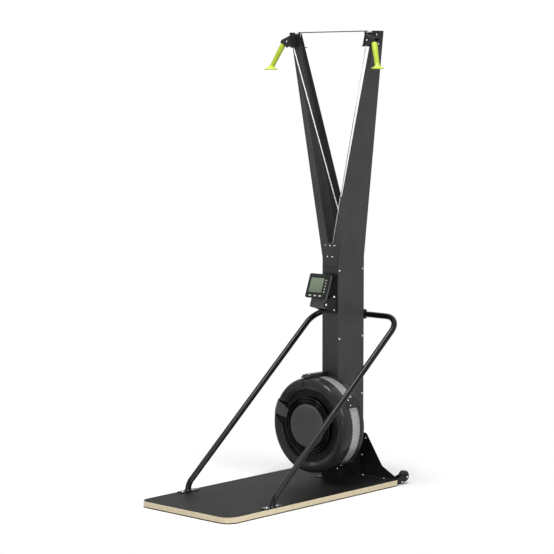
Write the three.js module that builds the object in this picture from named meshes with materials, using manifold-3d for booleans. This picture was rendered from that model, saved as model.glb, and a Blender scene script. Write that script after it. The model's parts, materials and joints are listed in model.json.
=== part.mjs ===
// A ski trainer: a V-shaped column on a floor board, with two spring-returned hand cords
// that turn a fan in a round cage. Millimetres, +Z up, the user stands on the -Y side.
// The machine is first laid out from the board's rear edge (y = 0, floor z = 0, middle x = 0)
// and then moved along Y, so that the origin is under the middle of its outer box.
import * as THREE from "three";
import { mergeVertices } from "three/addons/utils/BufferGeometryUtils.js";
import Module from "manifold-3d";

const wasm = await Module();
wasm.setup();

// General clearances and cuts
const seatGap = 0.3; // between pieces that rest on or in each other
const runGap = 0.6; // between pieces that move past each other
const overrun = 1; // how far a cutting tool passes the face that it cuts
const sink = 0.5; // how far welded or moulded-on features reach into their piece
const weldTolerance = 0.001;

// Floor board
const boardLength = 1155;
const boardWidth = 575;
const boardThickness = 24;
const boardFrontRadius = 55;
const boardRearRadius = 10;
const matThickness = 4.5;
const matInset = 1.5;
const boardTop = matThickness + boardThickness;

// Column: two folded legs that are upright up to the kink and spread above it
const sheet = 2.5;
const columnWidth = 100;
const columnFrontY = -167;
const columnRearY = 21;
const kinkHeight = 1083;
const armTopHeight = 2150;
const armTopHalfWidth = 266;
const armTopFrontY = -157.5;
const armTopRearY = -100;
const kinkFlange = 50;
const armTopFlange = 21;
const panelReturn = 22;
const panelTopDrop = 3;

// Cords and the pulleys that they run on
const cordDiameter = 5;
const cordSides = 8;
const wrapSteps = 6;
const cordSeat = cordDiameter / 2 + seatGap;
const boreGap = 0.3;
const drivePulleyInset = 16;
const drivePulleyDrop = 41;
const drivePulleyLead = 25;
const drivePulleyX = armTopHalfWidth - drivePulleyInset;
const drivePulleyZ = armTopHeight - drivePulleyDrop;
const drivePulleyY = armTopFrontY - drivePulleyLead;
const drivePulleyRun = 15;
const drivePulleyWidth = 14;
const pulleyRim = 4.8;
const pulleyFlange = 1.5;
const returnPulleyInset = 41;
const returnPulleyDrop = 10;
const returnPulleyLag = 7.5;
const returnPulleyX = armTopHalfWidth - returnPulleyInset;
const returnPulleyZ = armTopHeight - returnPulleyDrop;
const returnPulleyY = armTopFrontY + returnPulleyLag;
const returnPulleyRun = 12;
const returnPulleyWidth = 11;
const returnPulleyRim = 6.3;
const guidePulleyX = 30;
const guidePulleyRise = 55;
const guidePulleyLag = 66;
const guidePulleyStep = 12;
const guidePulleyZ = kinkHeight + guidePulleyRise;
const guidePulleyYLeft = columnFrontY + guidePulleyLag;
const guidePulleyYRight = guidePulleyYLeft + guidePulleyStep;
const guidePulleyRun = 14.5;
const guidePulleyWidth = 11;
const guidePulleyRim = 5.5;
const guideAxleRadius = 4;
const returnPinRadius = 5;
const returnPinRise = 15;
const returnPinLead = 81;
const returnPinHeight = kinkHeight + returnPinRise;
const returnPinY = columnRearY - returnPinLead;
const returnPinReach = 14;
const returnPinInset = 8.5;

// Drive shaft, drums and bearings
const axleHeight = 298;
const shaftRadius = 10;
const shaftRearReach = 6;
const shaftRearY = columnRearY + shaftRearReach;
const bearingRadius = 21;
const bearingWidth = 14;
const frontBearingLead = 9;
const rearBearingLead = 10;
const frontBearingY = columnFrontY - frontBearingLead;
const rearBearingY = columnRearY - rearBearingLead;
const driveSpoolRun = 28;
const returnSpoolRun = 18;
const drumFlange = 3;
const driveSpoolWidth = 30;
const returnSpoolWidth = 11;
const driveFlangeRadius = 38;
const returnFlangeRadius = 30;
const frontDrumLag = 21;
const drumSpacing = 4;
const drumLength = driveSpoolWidth + returnSpoolWidth + 3 * drumFlange;
const frontDrumY = columnFrontY + frontDrumLag;
const rearDrumY = frontDrumY + drumLength + drumSpacing;

// Handles
const handleReach = 19; // outwards from the arm's top
const handleLead = 6.5; // in front of the drive pulley
const handleDrop = 54;
const handleSpread = 51; // from the top of the grip to its foot
const handleLean = 35;
const handleRun = 120;
const handleTop = new THREE.Vector3(
  armTopHalfWidth + handleReach,
  drivePulleyY - handleLead,
  armTopHeight - handleDrop,
);
const handleFoot = new THREE.Vector3(
  handleTop.x + handleSpread,
  handleTop.y - handleLean,
  handleTop.z - handleRun,
);
const handleNeckRadius = 13.5;
const handleGripRadius = 12.8;
const handleWaistRadius = 10.8;
const handleFlangeRadius = 29.5;
const handleFlangeThickness = 5;
const handleFlareHeight = 22;
const knotRadius = 7;
const knotPocketDepth = 18;
const knotPocketRadius = 9;

// Pulley housings
const housingSheet = 3;
const housingDepth = 39.6;
const housingRearY = armTopFrontY - runGap - seatGap;
const housingFrontY = housingRearY - housingDepth;
const housingWall = 3;
const housingReach = 65; // inwards from the arm's outer side
const coverReach = 29;
const coverRise = 28; // of the cover's inner corner above the drive pulley's axis
const noseReach = 40;
const noseRise = 9;
const earRise = 5; // round the return pulley's bolt
const earWidth = 10;
const housingDrop = 25; // below the drive pulley's axis
const housingInnerX = armTopHalfWidth - housingReach;
const coverInnerX = armTopHalfWidth - coverReach;
const housingBottomZ = drivePulleyZ - housingDrop;
const noseGap = 3;
const noseDrop = 22;
const housingLugLength = 54;
const housingLugDrop = 64;
const housingLugBottomZ = armTopHeight - housingLugDrop;
const drivePinRadius = 5;
const returnPinBolt = 4;

// Fan cage
const cageRadius = 226.5;
const cageSheet = 3;
const cageStandoff = 13; // in front of the column
const cageMeshSetback = 10;
const cageMeshDepth = 87;
const cageSkirtDepth = 15;
const cageMouthDepth = 48;
const cageRearY = columnFrontY - cageStandoff;
const cageMeshRearY = cageRearY - cageMeshSetback;
const cageMeshFrontY = cageMeshRearY - cageMeshDepth;
const cageSkirtRearY = cageMeshFrontY + cageSkirtDepth;
const cageFrontY = cageMeshFrontY - cageMouthDepth;
const cageInnerRadius = 172;
const cageCorner = 20;
const mouthDepth = 10; // from the face back to the edge of the mouth
const mouthSlope = 18;
const channelDepth = 3; // recess in which the lever moves
const channelRear = 30;
const channelAnglesShare = [98 / 360, 175 / 360];
const channelWallShare = 1.2 / 360;
const cageBossRadius = 45;
const meshThickness = 2;
const rearLipDepth = 25;
const rearLipY = cageRearY - rearLipDepth;
const strapWidth = 50;
const strapLift = 13.5; // of the top strap above the cage
const strapLap = 10; // of the other straps over the front cover
const strapSetback = 3;
const strapFrontY = cageFrontY + strapSetback;
const topStrapShare = 96 / 360;
const sideStrapShares = [32 / 360, -53 / 360];
const grilleSpokes = 20;
const grilleRingOuter = 141;
const grilleRingInner = 60;
const grilleSetback = 22;
const grilleY = cageFrontY + grilleSetback;
const grilleDepth = 4;
const spokeWidth = 2.6;
const capRadius = 103;
const capLead = 11;
const capFrontY = cageFrontY - capLead;
const capSheet = 4;
const damperInner = 105;
const damperOuter = 138;
const damperLead = 5; // in front of the cage's face
const damperFrontY = cageFrontY - damperLead;
const damperRearY = grilleY - grilleDepth / 2 - seatGap;
const damperGroove = 4;
const leverAngle = 161;
const leverAngleHalf = 9;
const leverThickness = 3;
const leverGripDepth = 10;

// Fan rotor
const rotorRadius = 206;
const rotorSetback = 20;
const rotorDiscY = cageRearY - rotorSetback;
const rotorDiscThickness = 3;
const rotorHubRadius = 32;
const rotorHubLength = 92;
const rotorHubFrontY = rotorDiscY - rotorHubLength;
const shaftLead = 7;
const shaftFrontY = rotorHubFrontY - shaftLead;
const rotorRimInner = 98;
const rotorRimOuter = 122;
const rotorRimThickness = 14;
const bladeCount = 16;
const bladeInner = 126;
const bladeOuter = 203;
const bladeHeight = 84;
const bladeThickness = 3;
const bladeSweep = 20;
const bladeSteps = 3;

// Base brackets and front foot
const bracketSheet = 3;
const cheekTopZ = 205;
const wingY = -5;
const wingPeakX = 91;
const wingPeakZ = 234;
const wingPeakRadius = 14;
const wingKinkX = 191;
const wingKinkZ = 85;
const wingTipInset = 2;
const wingTipRise = 7.5;
const wingTipX = boardWidth / 2 - wingTipInset;
const wingTipZ = boardTop + wingTipRise;
const wingFootDepth = 42;
const frontFootWidth = 134;
const frontFootReach = 40;
const frontFootClearance = 1; // under the cage
const frontFootHeight = axleHeight - cageRadius - boardTop - frontFootClearance;

// Support tubes
const tubeRadius = 14;
const tubeSides = 10;
const tubeInset = 19.5;
const tubeSideX = boardWidth / 2 - tubeInset;
const tubeBarZ = 803;
const tubeBarReach = 16; // behind the column
const tubeBarY = columnRearY + tubeBarReach;
const tubeBendRadius = 92;
const tubeFootBendRadius = 60;
const tubeFootSetback = 297; // from the board's front edge
const tubeFootY = tubeFootSetback - boardLength;
const tubeFootKneeRise = 37.5;
const tubeFootKneeZ = boardTop + tubeFootKneeRise;
const tubeFootPlateLength = 118;
const tubeFootPlateWidth = 40;
const tubeFootPlateThickness = 4;
const tubeFootPlateLead = 57;
const tubeFootPlateFrontY = tubeFootY - tubeFootPlateLead;
const clampWidth = 84;
const clampHeight = 46;
const clampPlate = 4;

// Transport wheels
const wheelRadius = 27;
const wheelWidth = 28;
const wheelInset = 21.5;
const wheelX = boardWidth / 2 - wheelInset;
const wheelY = 67;
const wheelZ = 36;
const wheelAxleRadius = 5;
const forkCheek = 4;
const forkPlateHeight = 24;
const forkEndRadius = 14;
const forkHeelReach = 38;
const casterReach = wheelY + wheelRadius;

// Monitor
const monitorWidth = 124;
const monitorHeight = 118;
const monitorFrontDepth = 12;
const monitorBackDepth = 18;
const monitorCorner = 8;
const monitorTilt = 20;
const monitorPivotLead = 83; // in front of the column
const monitorFaceLead = 11;
const monitorFaceRise = 89;
const monitorPivotDrop = 212; // below the kink
const monitorPivotZ = kinkHeight - monitorPivotDrop;
const monitorPivotY = columnFrontY - monitorPivotLead;
const monitorFaceY = monitorPivotY - monitorFaceLead;
const monitorFaceZ = monitorPivotZ + monitorFaceRise;
const screenWidth = 82;
const screenHeight = 78;
const screenX = -6;
const screenRecess = 1;
const screenThickness = 2;
const batteryWidth = 80;
const batteryDepth = 30;
const batteryHeight = 54;
const pivotRadius = 5;
const keyTravel = 1;
const keyX = 51;
const keyRadius = 4;
const keyTopV = 28;
const keyPitch = 14;
const keyCount = 5;
const keyHeight = 3;
const wideKeyWidth = 17;
const wideKeyHeight = 8;
const wideKeyV = -49;
const wideKeyPitch = 31;
const wideKeyX = -31;
const monitorPlateWidth = 90;
const monitorPlateRise = 47;
const monitorPlateDrop = 49;
const monitorPlateTop = monitorPivotZ + monitorPlateRise;
const monitorPlateBottom = monitorPivotZ - monitorPlateDrop;
const cheekEndRadius = 14;

// Crotch plate
const crotchRise = 73;
const crotchDrop = 37;
const crotchTopZ = kinkHeight + crotchRise;
const crotchBottomZ = kinkHeight - crotchDrop;
const crotchInset = 5;
const boltHeadRadius = 6.5;
const boltHeadHeight = 3;

// Steps round curved outlines, and sides of round pieces
const arcSteps = 3;
const smallSides = 16;
const discSides = 36;
const cageSides = 40;
const barSides = 12;
const hexSides = 6;

// Finishes
const finish = (color, roughness, metalness) =>
  new THREE.MeshStandardMaterial({ color, roughness, metalness, flatShading: true });
const powderCoat = finish(0x3b3b3d, 0.55, 0.2);
const blackSteel = finish(0x161617, 0.5, 0.2);
const blackPlastic = finish(0x202022, 0.5, 0);
const greyMesh = finish(0x8b8b8c, 0.45, 0.7);
const steel = finish(0xb9babc, 0.35, 0.9);
const filmPlywood = finish(0xd6c39c, 0.6, 0);
const rubber = finish(0x1a1a1a, 0.9, 0);
const limeRubber = finish(0xb3cc3c, 0.6, 0);
const whiteCord = finish(0xe6e6e2, 0.8, 0);
const blackCord = finish(0x1b1b1b, 0.85, 0);
const paleNylon = finish(0xdcdcd8, 0.5, 0);
const glass = finish(0x8c9984, 0.2, 0);
const keyRubber = finish(0xc9ccc6, 0.7, 0);
const alloy = finish(0x9a9b9d, 0.4, 0.8);

// The signed volume of an indexed triangle mesh, negative if its faces point inwards.
function signedVolume(position, index) {
  const a = new THREE.Vector3();
  const b = new THREE.Vector3();
  const c = new THREE.Vector3();
  let sum = 0;
  for (let i = 0; i < index.length; i += 3) {
    a.fromBufferAttribute(position, index[i]);
    b.fromBufferAttribute(position, index[i + 1]);
    c.fromBufferAttribute(position, index[i + 2]);
    sum += a.dot(b.cross(c));
  }
  return sum;
}

// Welds the vertices of a geometry, drops collapsed triangles and turns the faces outwards.
function closed(geometry) {
  const bare = new THREE.BufferGeometry();
  const loose = geometry.index ? geometry.toNonIndexed() : geometry;
  bare.setAttribute("position", loose.getAttribute("position").clone());
  const welded = mergeVertices(bare, weldTolerance);
  const kept = [];
  const all = welded.index.array;
  for (let i = 0; i < all.length; i += 3) {
    const [a, b, c] = [all[i], all[i + 1], all[i + 2]];
    if (a !== b && b !== c && c !== a) kept.push(a, b, c);
  }
  if (signedVolume(welded.getAttribute("position"), kept) < 0) kept.reverse();
  welded.setIndex(kept);
  return welded;
}

// The solid of a geometry, for joining and cutting.
function solidOf(geometry) {
  const shape = closed(geometry);
  return new wasm.Manifold(
    new wasm.Mesh({
      numProp: 3,
      vertProperties: new Float32Array(shape.getAttribute("position").array),
      triVerts: new Uint32Array(shape.index.array),
    }),
  );
}

// The geometry of a solid.
function geometryOf(solid) {
  const { vertProperties, triVerts } = solid.getMesh();
  const geometry = new THREE.BufferGeometry();
  geometry.setAttribute("position", new THREE.BufferAttribute(vertProperties, 3));
  geometry.setIndex([...triVerts]);
  return geometry;
}

function join(first, ...others) {
  return geometryOf(others.reduce((sum, piece) => sum.add(solidOf(piece)), solidOf(first)));
}

function common(first, second) {
  return geometryOf(solidOf(first).intersect(solidOf(second)));
}

function cut(base, ...tools) {
  return geometryOf(tools.reduce((rest, tool) => rest.subtract(solidOf(tool)), solidOf(base)));
}

// An outline through points given as [across, up].
function outline(points) {
  return new THREE.Shape(points.map(([u, v]) => new THREE.Vector2(u, v)));
}

// An outline with every corner rounded by its own radius: points are [across, up, radius].
function roundedOutline(points) {
  const shape = new THREE.Shape();
  points.forEach(([u, v, radius], i) => {
    const corner = new THREE.Vector2(u, v);
    const before = new THREE.Vector2(...points.at(i - 1));
    const after = new THREE.Vector2(...points[(i + 1) % points.length]);
    const toBefore = before.sub(corner).normalize();
    const toAfter = after.sub(corner).normalize();
    const halfAngle = Math.acos(THREE.MathUtils.clamp(toBefore.dot(toAfter), -1, 1)) / 2;
    const setback = radius / Math.tan(halfAngle);
    const start = corner.clone().addScaledVector(toBefore, setback);
    const end = corner.clone().addScaledVector(toAfter, setback);
    if (i === 0) shape.moveTo(start.x, start.y);
    else shape.lineTo(start.x, start.y);
    if (radius > 0) shape.quadraticCurveTo(corner.x, corner.y, end.x, end.y);
  });
  shape.closePath();
  return shape;
}

// A rectangle with rounded corners about a middle point.
function roundedBox(width, height, radius, u = 0, v = 0) {
  const [w, h] = [width / 2, height / 2];
  return roundedOutline([
    [u - w, v - h, radius],
    [u + w, v - h, radius],
    [u + w, v + h, radius],
    [u - w, v + h, radius],
  ]);
}



// Flat plates: an outline in one plane, with its thickness along the third axis.
function slab(shape, thickness) {
  return new THREE.ExtrudeGeometry(shape, {
    depth: thickness,
    bevelEnabled: false,
    curveSegments: arcSteps,
  });
}

function plateXY(shape, thickness, lowZ) {
  return slab(shape, thickness).translate(0, 0, lowZ);
}

function plateXZ(shape, thickness, frontY) {
  return slab(shape, thickness)
    .rotateX(Math.PI / 2)
    .translate(0, frontY + thickness, 0);
}

// The outline's first axis becomes Y and its second Z.
function plateYZ(shape, thickness, lowX) {
  const turn = new THREE.Matrix4().makeBasis(
    new THREE.Vector3(0, 1, 0),
    new THREE.Vector3(0, 0, 1),
    new THREE.Vector3(1, 0, 0),
  );
  return slab(shape, thickness).applyMatrix4(turn).translate(lowX, 0, 0);
}

// A block from its lowest to its highest corner.
function block(x0, y0, z0, x1, y1, z1) {
  return new THREE.BoxGeometry(x1 - x0, y1 - y0, z1 - z0).translate(
    (x0 + x1) / 2,
    (y0 + y1) / 2,
    (z0 + z1) / 2,
  );
}

// A round bar along Y, from one y to another, about the point x, z.
function barY(radius, y0, y1, x = 0, z = 0, sides = smallSides) {
  return new THREE.CylinderGeometry(radius, radius, y1 - y0, sides).translate(x, (y0 + y1) / 2, z);
}

// A round bar along X.
function barX(radius, x0, x1, y, z, sides = smallSides) {
  return new THREE.CylinderGeometry(radius, radius, x1 - x0, sides)
    .rotateZ(Math.PI / 2)
    .translate((x0 + x1) / 2, y, z);
}

// A profile of [radius, y] points that closes on itself or on the axis, turned about the Y axis.
function turned(profile, segments) {
  const points = profile.map(([r, y]) => new THREE.Vector2(r, y));
  if (profile[0][0] > 0) points.push(points[0].clone());
  return closed(new THREE.LatheGeometry(points, segments));
}

// A solid through convex sections with the same number of corners, from one end to the other.
function loft(sections) {
  const corners = sections[0].length;
  const index = [];
  for (let s = 0; s + 1 < sections.length; s += 1) {
    for (let c = 0; c < corners; c += 1) {
      const next = (c + 1) % corners;
      const low = s * corners;
      const high = low + corners;
      index.push(low + c, low + next, high + next, low + c, high + next, high + c);
    }
  }
  const last = (sections.length - 1) * corners;
  for (let c = 1; c + 1 < corners; c += 1) {
    index.push(0, c + 1, c, last, last + c, last + c + 1);
  }
  const geometry = new THREE.BufferGeometry();
  const numbers = sections.flat(2);
  geometry.setAttribute("position", new THREE.Float32BufferAttribute(numbers, 3));
  geometry.setIndex(index);
  return closed(geometry);
}

// A rectangular section at one height, as four corners for a loft.
function section(x0, x1, y0, y1, z) {
  return [
    [x0, y0, z],
    [x1, y0, z],
    [x1, y1, z],
    [x0, y1, z],
  ];
}

// A route through points that puts one step at each point.
class Route extends THREE.Curve {
  constructor(points) {
    super();
    this.points = points;
  }

  getPoint(t, target = new THREE.Vector3()) {
    const place = THREE.MathUtils.clamp(t, 0, 1) * (this.points.length - 1);
    const i = Math.min(Math.floor(place), this.points.length - 2);
    return target.lerpVectors(this.points[i], this.points[i + 1], place - i);
  }

  getTangent(t, target = new THREE.Vector3()) {
    const place = Math.round(THREE.MathUtils.clamp(t, 0, 1) * (this.points.length - 1));
    const here = this.points[place];
    const before = this.points[place - 1] ?? here;
    const after = this.points[place + 1] ?? here;
    const arriving = here.clone().sub(before).normalize();
    const leaving = after.clone().sub(here).normalize();
    return target.copy(arriving).add(leaving).normalize();
  }

  getUtoTmapping(u) {
    return u;
  }
}

// A round tube or cord of a given radius along a list of points.
function tube(points, radius, sides) {
  const ring = new THREE.Shape();
  for (let i = 0; i < sides; i += 1) {
    const angle = (i / sides) * 2 * Math.PI;
    const [u, v] = [radius * Math.cos(angle), radius * Math.sin(angle)];
    if (i === 0) ring.moveTo(u, v);
    else ring.lineTo(u, v);
  }
  ring.closePath();
  return closed(
    new THREE.ExtrudeGeometry(ring, {
      steps: points.length - 1,
      bevelEnabled: false,
      curveSegments: 1,
      extrudePath: new Route(points),
    }),
  );
}

// A route of straight runs whose corners are rounded by arcs: corners are {at, bend}.
function bentRoute(corners, stepsPerBend) {
  const route = [corners[0].at.clone()];
  for (let i = 1; i + 1 < corners.length; i += 1) {
    const { at, bend } = corners[i];
    const back = corners[i - 1].at.clone().sub(at).normalize();
    const on = corners[i + 1].at.clone().sub(at).normalize();
    const half = back.angleTo(on) / 2;
    const centre = at.clone().add(back.clone().add(on).normalize().multiplyScalar(bend / Math.sin(half)));
    const start = at.clone().addScaledVector(back, bend / Math.tan(half));
    const end = at.clone().addScaledVector(on, bend / Math.tan(half));
    const [from, to] = [start.sub(centre), end.sub(centre)];
    const sweep = from.angleTo(to);
    for (let s = 0; s <= stepsPerBend; s += 1) {
      const share = s / stepsPerBend;
      const spoke = from
        .clone()
        .multiplyScalar(Math.sin((1 - share) * sweep) / Math.sin(sweep))
        .addScaledVector(to, Math.sin(share * sweep) / Math.sin(sweep));
      route.push(spoke.add(centre));
    }
  }
  route.push(corners.at(-1).at.clone());
  return route;
}

// The straight run between two pulleys in the XZ plane. A pulley is {x, z, run}, where run is
// the radius of the cord's middle, positive if the pulley lies to the right of the travel.
function tangent(from, to) {
  const gap = new THREE.Vector2(to.x - from.x, to.z - from.z);
  const turn = Math.acos((to.run - from.run) / gap.length());
  const normal = gap.normalize().rotateAround(new THREE.Vector2(), -turn);
  return {
    leave: new THREE.Vector2(from.x, from.z).addScaledVector(normal, -from.run),
    reach: new THREE.Vector2(to.x, to.z).addScaledVector(normal, -to.run),
  };
}

// The route of a cord from the first pulley's tangent point, round the pulleys between, to the
// last pulley's. Each pulley also has the y at which the cord runs on it. The steps round a
// pulley touch its running circle with their middles, so that they never cut into it.
function cordRoute(pulleys, stepsPerWrap) {
  const route = [];
  const put = (point, y) => route.push(new THREE.Vector3(point.x, y, point.y));
  for (let i = 0; i + 1 < pulleys.length; i += 1) {
    const run = tangent(pulleys[i], pulleys[i + 1]);
    if (i === 0) put(run.leave, pulleys[0].y);
    if (i + 2 === pulleys.length) {
      put(run.reach, pulleys[i + 1].y);
      break;
    }
    const pulley = pulleys[i + 1];
    const next = tangent(pulley, pulleys[i + 2]);
    const middle = new THREE.Vector2(pulley.x, pulley.z);
    const from = run.reach.clone().sub(middle).angle();
    const to = next.leave.clone().sub(middle).angle();
    const full = 2 * Math.PI;
    const clockwise = (((from - to) % full) + full) % full;
    const sweep = pulley.run > 0 ? -clockwise : (full - clockwise) % full;
    const step = sweep / stepsPerWrap;
    const reach = Math.abs(pulley.run) / Math.cos(step / 2);
    for (let s = 0; s < stepsPerWrap; s += 1) {
      const angle = from + step * (s + 1 / 2);
      const spoke = new THREE.Vector2(Math.cos(angle), Math.sin(angle));
      put(middle.clone().addScaledVector(spoke, reach), pulley.y);
    }
  }
  return route;
}

const machine = new THREE.Group();
machine.position.y = (boardLength - casterReach) / 2;

function add(name, geometry, material, parent = machine) {
  const mesh = new THREE.Mesh(geometry, material);
  mesh.name = name;
  parent.add(mesh);
  return mesh;
}

// Everything that has a mirror twin is modelled on the right side, at positive x.
const rightSide = new THREE.Group();
const leftSide = new THREE.Group();
leftSide.scale.x = -1;
machine.add(rightSide, leftSide);

function addPair(name, make, material) {
  add(name + "_right", make(), material, rightSide);
  add(name + "_left", make(), material, leftSide);
}

// Places on the arm above the kink, at a height z
const armShareAt = (z) => Math.max(0, (z - kinkHeight) / (armTopHeight - kinkHeight));
const legOuterAt = (z) => THREE.MathUtils.lerp(columnWidth / 2, armTopHalfWidth, armShareAt(z));
const legFrontAt = (z) => THREE.MathUtils.lerp(columnFrontY, armTopFrontY, armShareAt(z));
const legRearAt = (z) => THREE.MathUtils.lerp(columnRearY, armTopRearY, armShareAt(z));
const legFlangeAt = (z) => THREE.MathUtils.lerp(kinkFlange - seatGap / 2, armTopFlange, armShareAt(z));

// Board with rounded front corners, and the rubber layer that keeps it off the floor
function boardOutline(inset) {
  const side = boardWidth / 2 - inset;
  return roundedOutline([
    [-side, inset - boardLength, boardFrontRadius],
    [side, inset - boardLength, boardFrontRadius],
    [side, -inset, boardRearRadius],
    [-side, -inset, boardRearRadius],
  ]);
}

add("floor_board", plateXY(boardOutline(0), boardThickness, matThickness), filmPlywood);
add("base_mat", plateXY(boardOutline(matInset), matThickness, 0), rubber);

// Leg: side panel all the way up, with front and rear flanges above the kink. The bolts of the
// guide pulleys pass through both flanges, and a pin behind turns the return cord.
function leg() {
  const foot = boardTop + seatGap;
  const heights = [foot, kinkHeight, armTopHeight];
  const panel = loft(
    heights.map((z) => {
      const outer = legOuterAt(z);
      return section(outer - sheet, outer, legFrontAt(z), legRearAt(z), z);
    }),
  );
  const armHeights = [kinkHeight, armTopHeight];
  const flange = (near, far) =>
    loft(
      armHeights.map((z) => {
        const outer = legOuterAt(z);
        return section(outer - legFlangeAt(z), outer - sheet / 2, near(z), far(z), z);
      }),
    );
  const front = flange(legFrontAt, (z) => legFrontAt(z) + sheet);
  const rear = flange((z) => legRearAt(z) - sheet, legRearAt);
  const pinX = legOuterAt(returnPinHeight) - sheet - returnPinInset;
  const pinRear = legRearAt(returnPinHeight) - sheet / 2;
  const pin = barY(returnPinRadius, returnPinY - returnPinReach, pinRear, pinX, returnPinHeight, barSides);
  const boltHole = barY(
    guideAxleRadius + boreGap,
    columnFrontY - overrun,
    columnRearY + overrun,
    guidePulleyX,
    guidePulleyZ,
    barSides,
  );
  return cut(join(panel, front, rear, pin), boltHole);
}

addPair("leg", leg, powderCoat);

// Panels that close the column between the legs, with a return along each side panel and a hole
// for the shaft bearing
function columnPanel(faceLowY, returnLowY, returnHighY) {
  const half = columnWidth / 2 - sheet - seatGap;
  const low = boardTop + seatGap;
  const high = kinkHeight - panelTopDrop;
  const face = block(-half, faceLowY, low, half, faceLowY + sheet, high);
  const right = block(half - sheet, returnLowY, low, half, returnHighY, high);
  const left = block(-half, returnLowY, low, sheet - half, returnHighY, high);
  const hole = barY(
    bearingRadius + seatGap,
    faceLowY - overrun,
    faceLowY + sheet + overrun,
    0,
    axleHeight,
    smallSides,
  );
  return cut(join(face, right, left), hole);
}

add(
  "front_panel",
  columnPanel(columnFrontY, columnFrontY + sheet / 2, columnFrontY + panelReturn),
  powderCoat,
);
add(
  "rear_panel",
  columnPanel(columnRearY - sheet, columnRearY - panelReturn, columnRearY - sheet / 2),
  powderCoat,
);

// Crotch plate: ties the two arms together, and carries the bolts of the guide pulleys
function crotchPlate() {
  const plateFront = columnFrontY - seatGap - sheet;
  const shape = roundedOutline([
    [-(columnWidth / 2 - crotchInset), crotchBottomZ, crotchInset],
    [columnWidth / 2 - crotchInset, crotchBottomZ, crotchInset],
    [columnWidth / 2 - crotchInset, kinkHeight, 0],
    [legOuterAt(crotchTopZ) - crotchInset, crotchTopZ, crotchInset],
    [-(legOuterAt(crotchTopZ) - crotchInset), crotchTopZ, crotchInset],
    [-(columnWidth / 2 - crotchInset), kinkHeight, 0],
  ]);
  const plate = plateXZ(shape, sheet, plateFront);
  const boltEnd = legRearAt(guidePulleyZ) + boltHeadHeight;
  const bolts = [-guidePulleyX, guidePulleyX].flatMap((x) => [
    barY(guideAxleRadius, plateFront + sink, boltEnd, x, guidePulleyZ, barSides),
    barY(boltHeadRadius, plateFront - boltHeadHeight, plateFront + sink, x, guidePulleyZ, barSides),
  ]);
  return join(plate, ...bolts);
}

add("crotch_plate", crotchPlate(), powderCoat);

// A grooved pulley about its own middle: the cord's middle runs at the radius run
function pulleyProfile(run, rim, width, bore) {
  const core = run - cordSeat;
  const half = width / 2;
  const groove = half - pulleyFlange;
  return [
    [bore, -half],
    [core + rim, -half],
    [core + rim, -groove],
    [core, -groove],
    [core, groove],
    [core + rim, groove],
    [core + rim, half],
    [bore, half],
  ];
}

function pulley(run, rim, width, bore) {
  return turned(pulleyProfile(run, rim, width, bore), smallSides);
}

for (const [side, sign, y] of [
  ["right", 1, guidePulleyYRight],
  ["left", -1, guidePulleyYLeft],
]) {
  const wheel = add(
    "guide_pulley_" + side,
    pulley(guidePulleyRun, guidePulleyRim, guidePulleyWidth, guideAxleRadius + boreGap),
    paleNylon,
  );
  wheel.position.set(sign * guidePulleyX, y, guidePulleyZ);
}

// Drive shaft with the rotor seat in front and a groove behind each bearing
function driveShaft() {
  const groove = shaftRadius / 10;
  const frontGroove = frontBearingY + bearingWidth + groove;
  return turned(
    [
      [0, shaftFrontY],
      [shaftRadius - groove, shaftFrontY],
      [shaftRadius, shaftFrontY + groove],
      [shaftRadius, frontGroove],
      [shaftRadius - groove, frontGroove],
      [shaftRadius - groove, frontGroove + groove],
      [shaftRadius, frontGroove + groove],
      [shaftRadius, shaftRearY - groove],
      [shaftRadius - groove, shaftRearY],
      [0, shaftRearY],
    ],
    smallSides,
  ).translate(0, 0, axleHeight);
}

add("drive_shaft", driveShaft(), steel);

function bearing(lowY) {
  const [low, high] = [lowY, lowY + bearingWidth];
  const bore = shaftRadius + boreGap;
  const step = bearingWidth / 10;
  const race = (bore + bearingRadius) / 2;
  return turned(
    [
      [bore, low],
      [race - step, low],
      [race - step, low + step],
      [race + step, low + step],
      [race + step, low],
      [bearingRadius, low],
      [bearingRadius, high],
      [bore, high],
    ],
    smallSides,
  ).translate(0, 0, axleHeight);
}

add("shaft_bearing_front", bearing(frontBearingY), steel);
add("shaft_bearing_rear", bearing(rearBearingY), steel);

// Cord drum: a wide spool for the drive cord and a small one for the return cord
const driveSpoolMiddle = drumFlange + driveSpoolWidth / 2;
const returnSpoolMiddle = 2 * drumFlange + driveSpoolWidth + returnSpoolWidth / 2;

function drum() {
  const driveCore = driveSpoolRun - cordSeat;
  const returnCore = returnSpoolRun - cordSeat;
  const bore = shaftRadius + boreGap;
  const driveEnd = drumFlange + driveSpoolWidth;
  const returnEnd = drumLength - drumFlange;
  return turned(
    [
      [bore, 0],
      [driveFlangeRadius, 0],
      [driveFlangeRadius, drumFlange],
      [driveCore, drumFlange],
      [driveCore, driveEnd],
      [driveFlangeRadius, driveEnd],
      [driveFlangeRadius, driveEnd + drumFlange],
      [returnCore, driveEnd + drumFlange],
      [returnCore, returnEnd],
      [returnFlangeRadius, returnEnd],
      [returnFlangeRadius, drumLength],
      [bore, drumLength],
    ],
    smallSides,
  );
}

// The front drum takes the right handle's cord, the rear drum, turned end for end, the left's.
const frontDrum = add("cord_drum_front", drum(), blackPlastic);
frontDrum.position.set(0, frontDrumY, axleHeight);
const rearDrum = add("cord_drum_rear", drum(), blackPlastic);
rearDrum.rotation.x = Math.PI;
rearDrum.position.set(0, rearDrumY + drumLength, axleHeight);

const drumRuns = {
  right: { drive: frontDrumY + driveSpoolMiddle, back: frontDrumY + returnSpoolMiddle },
  left: {
    drive: rearDrumY + drumLength - driveSpoolMiddle,
    back: rearDrumY + drumLength - returnSpoolMiddle,
  },
};

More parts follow.
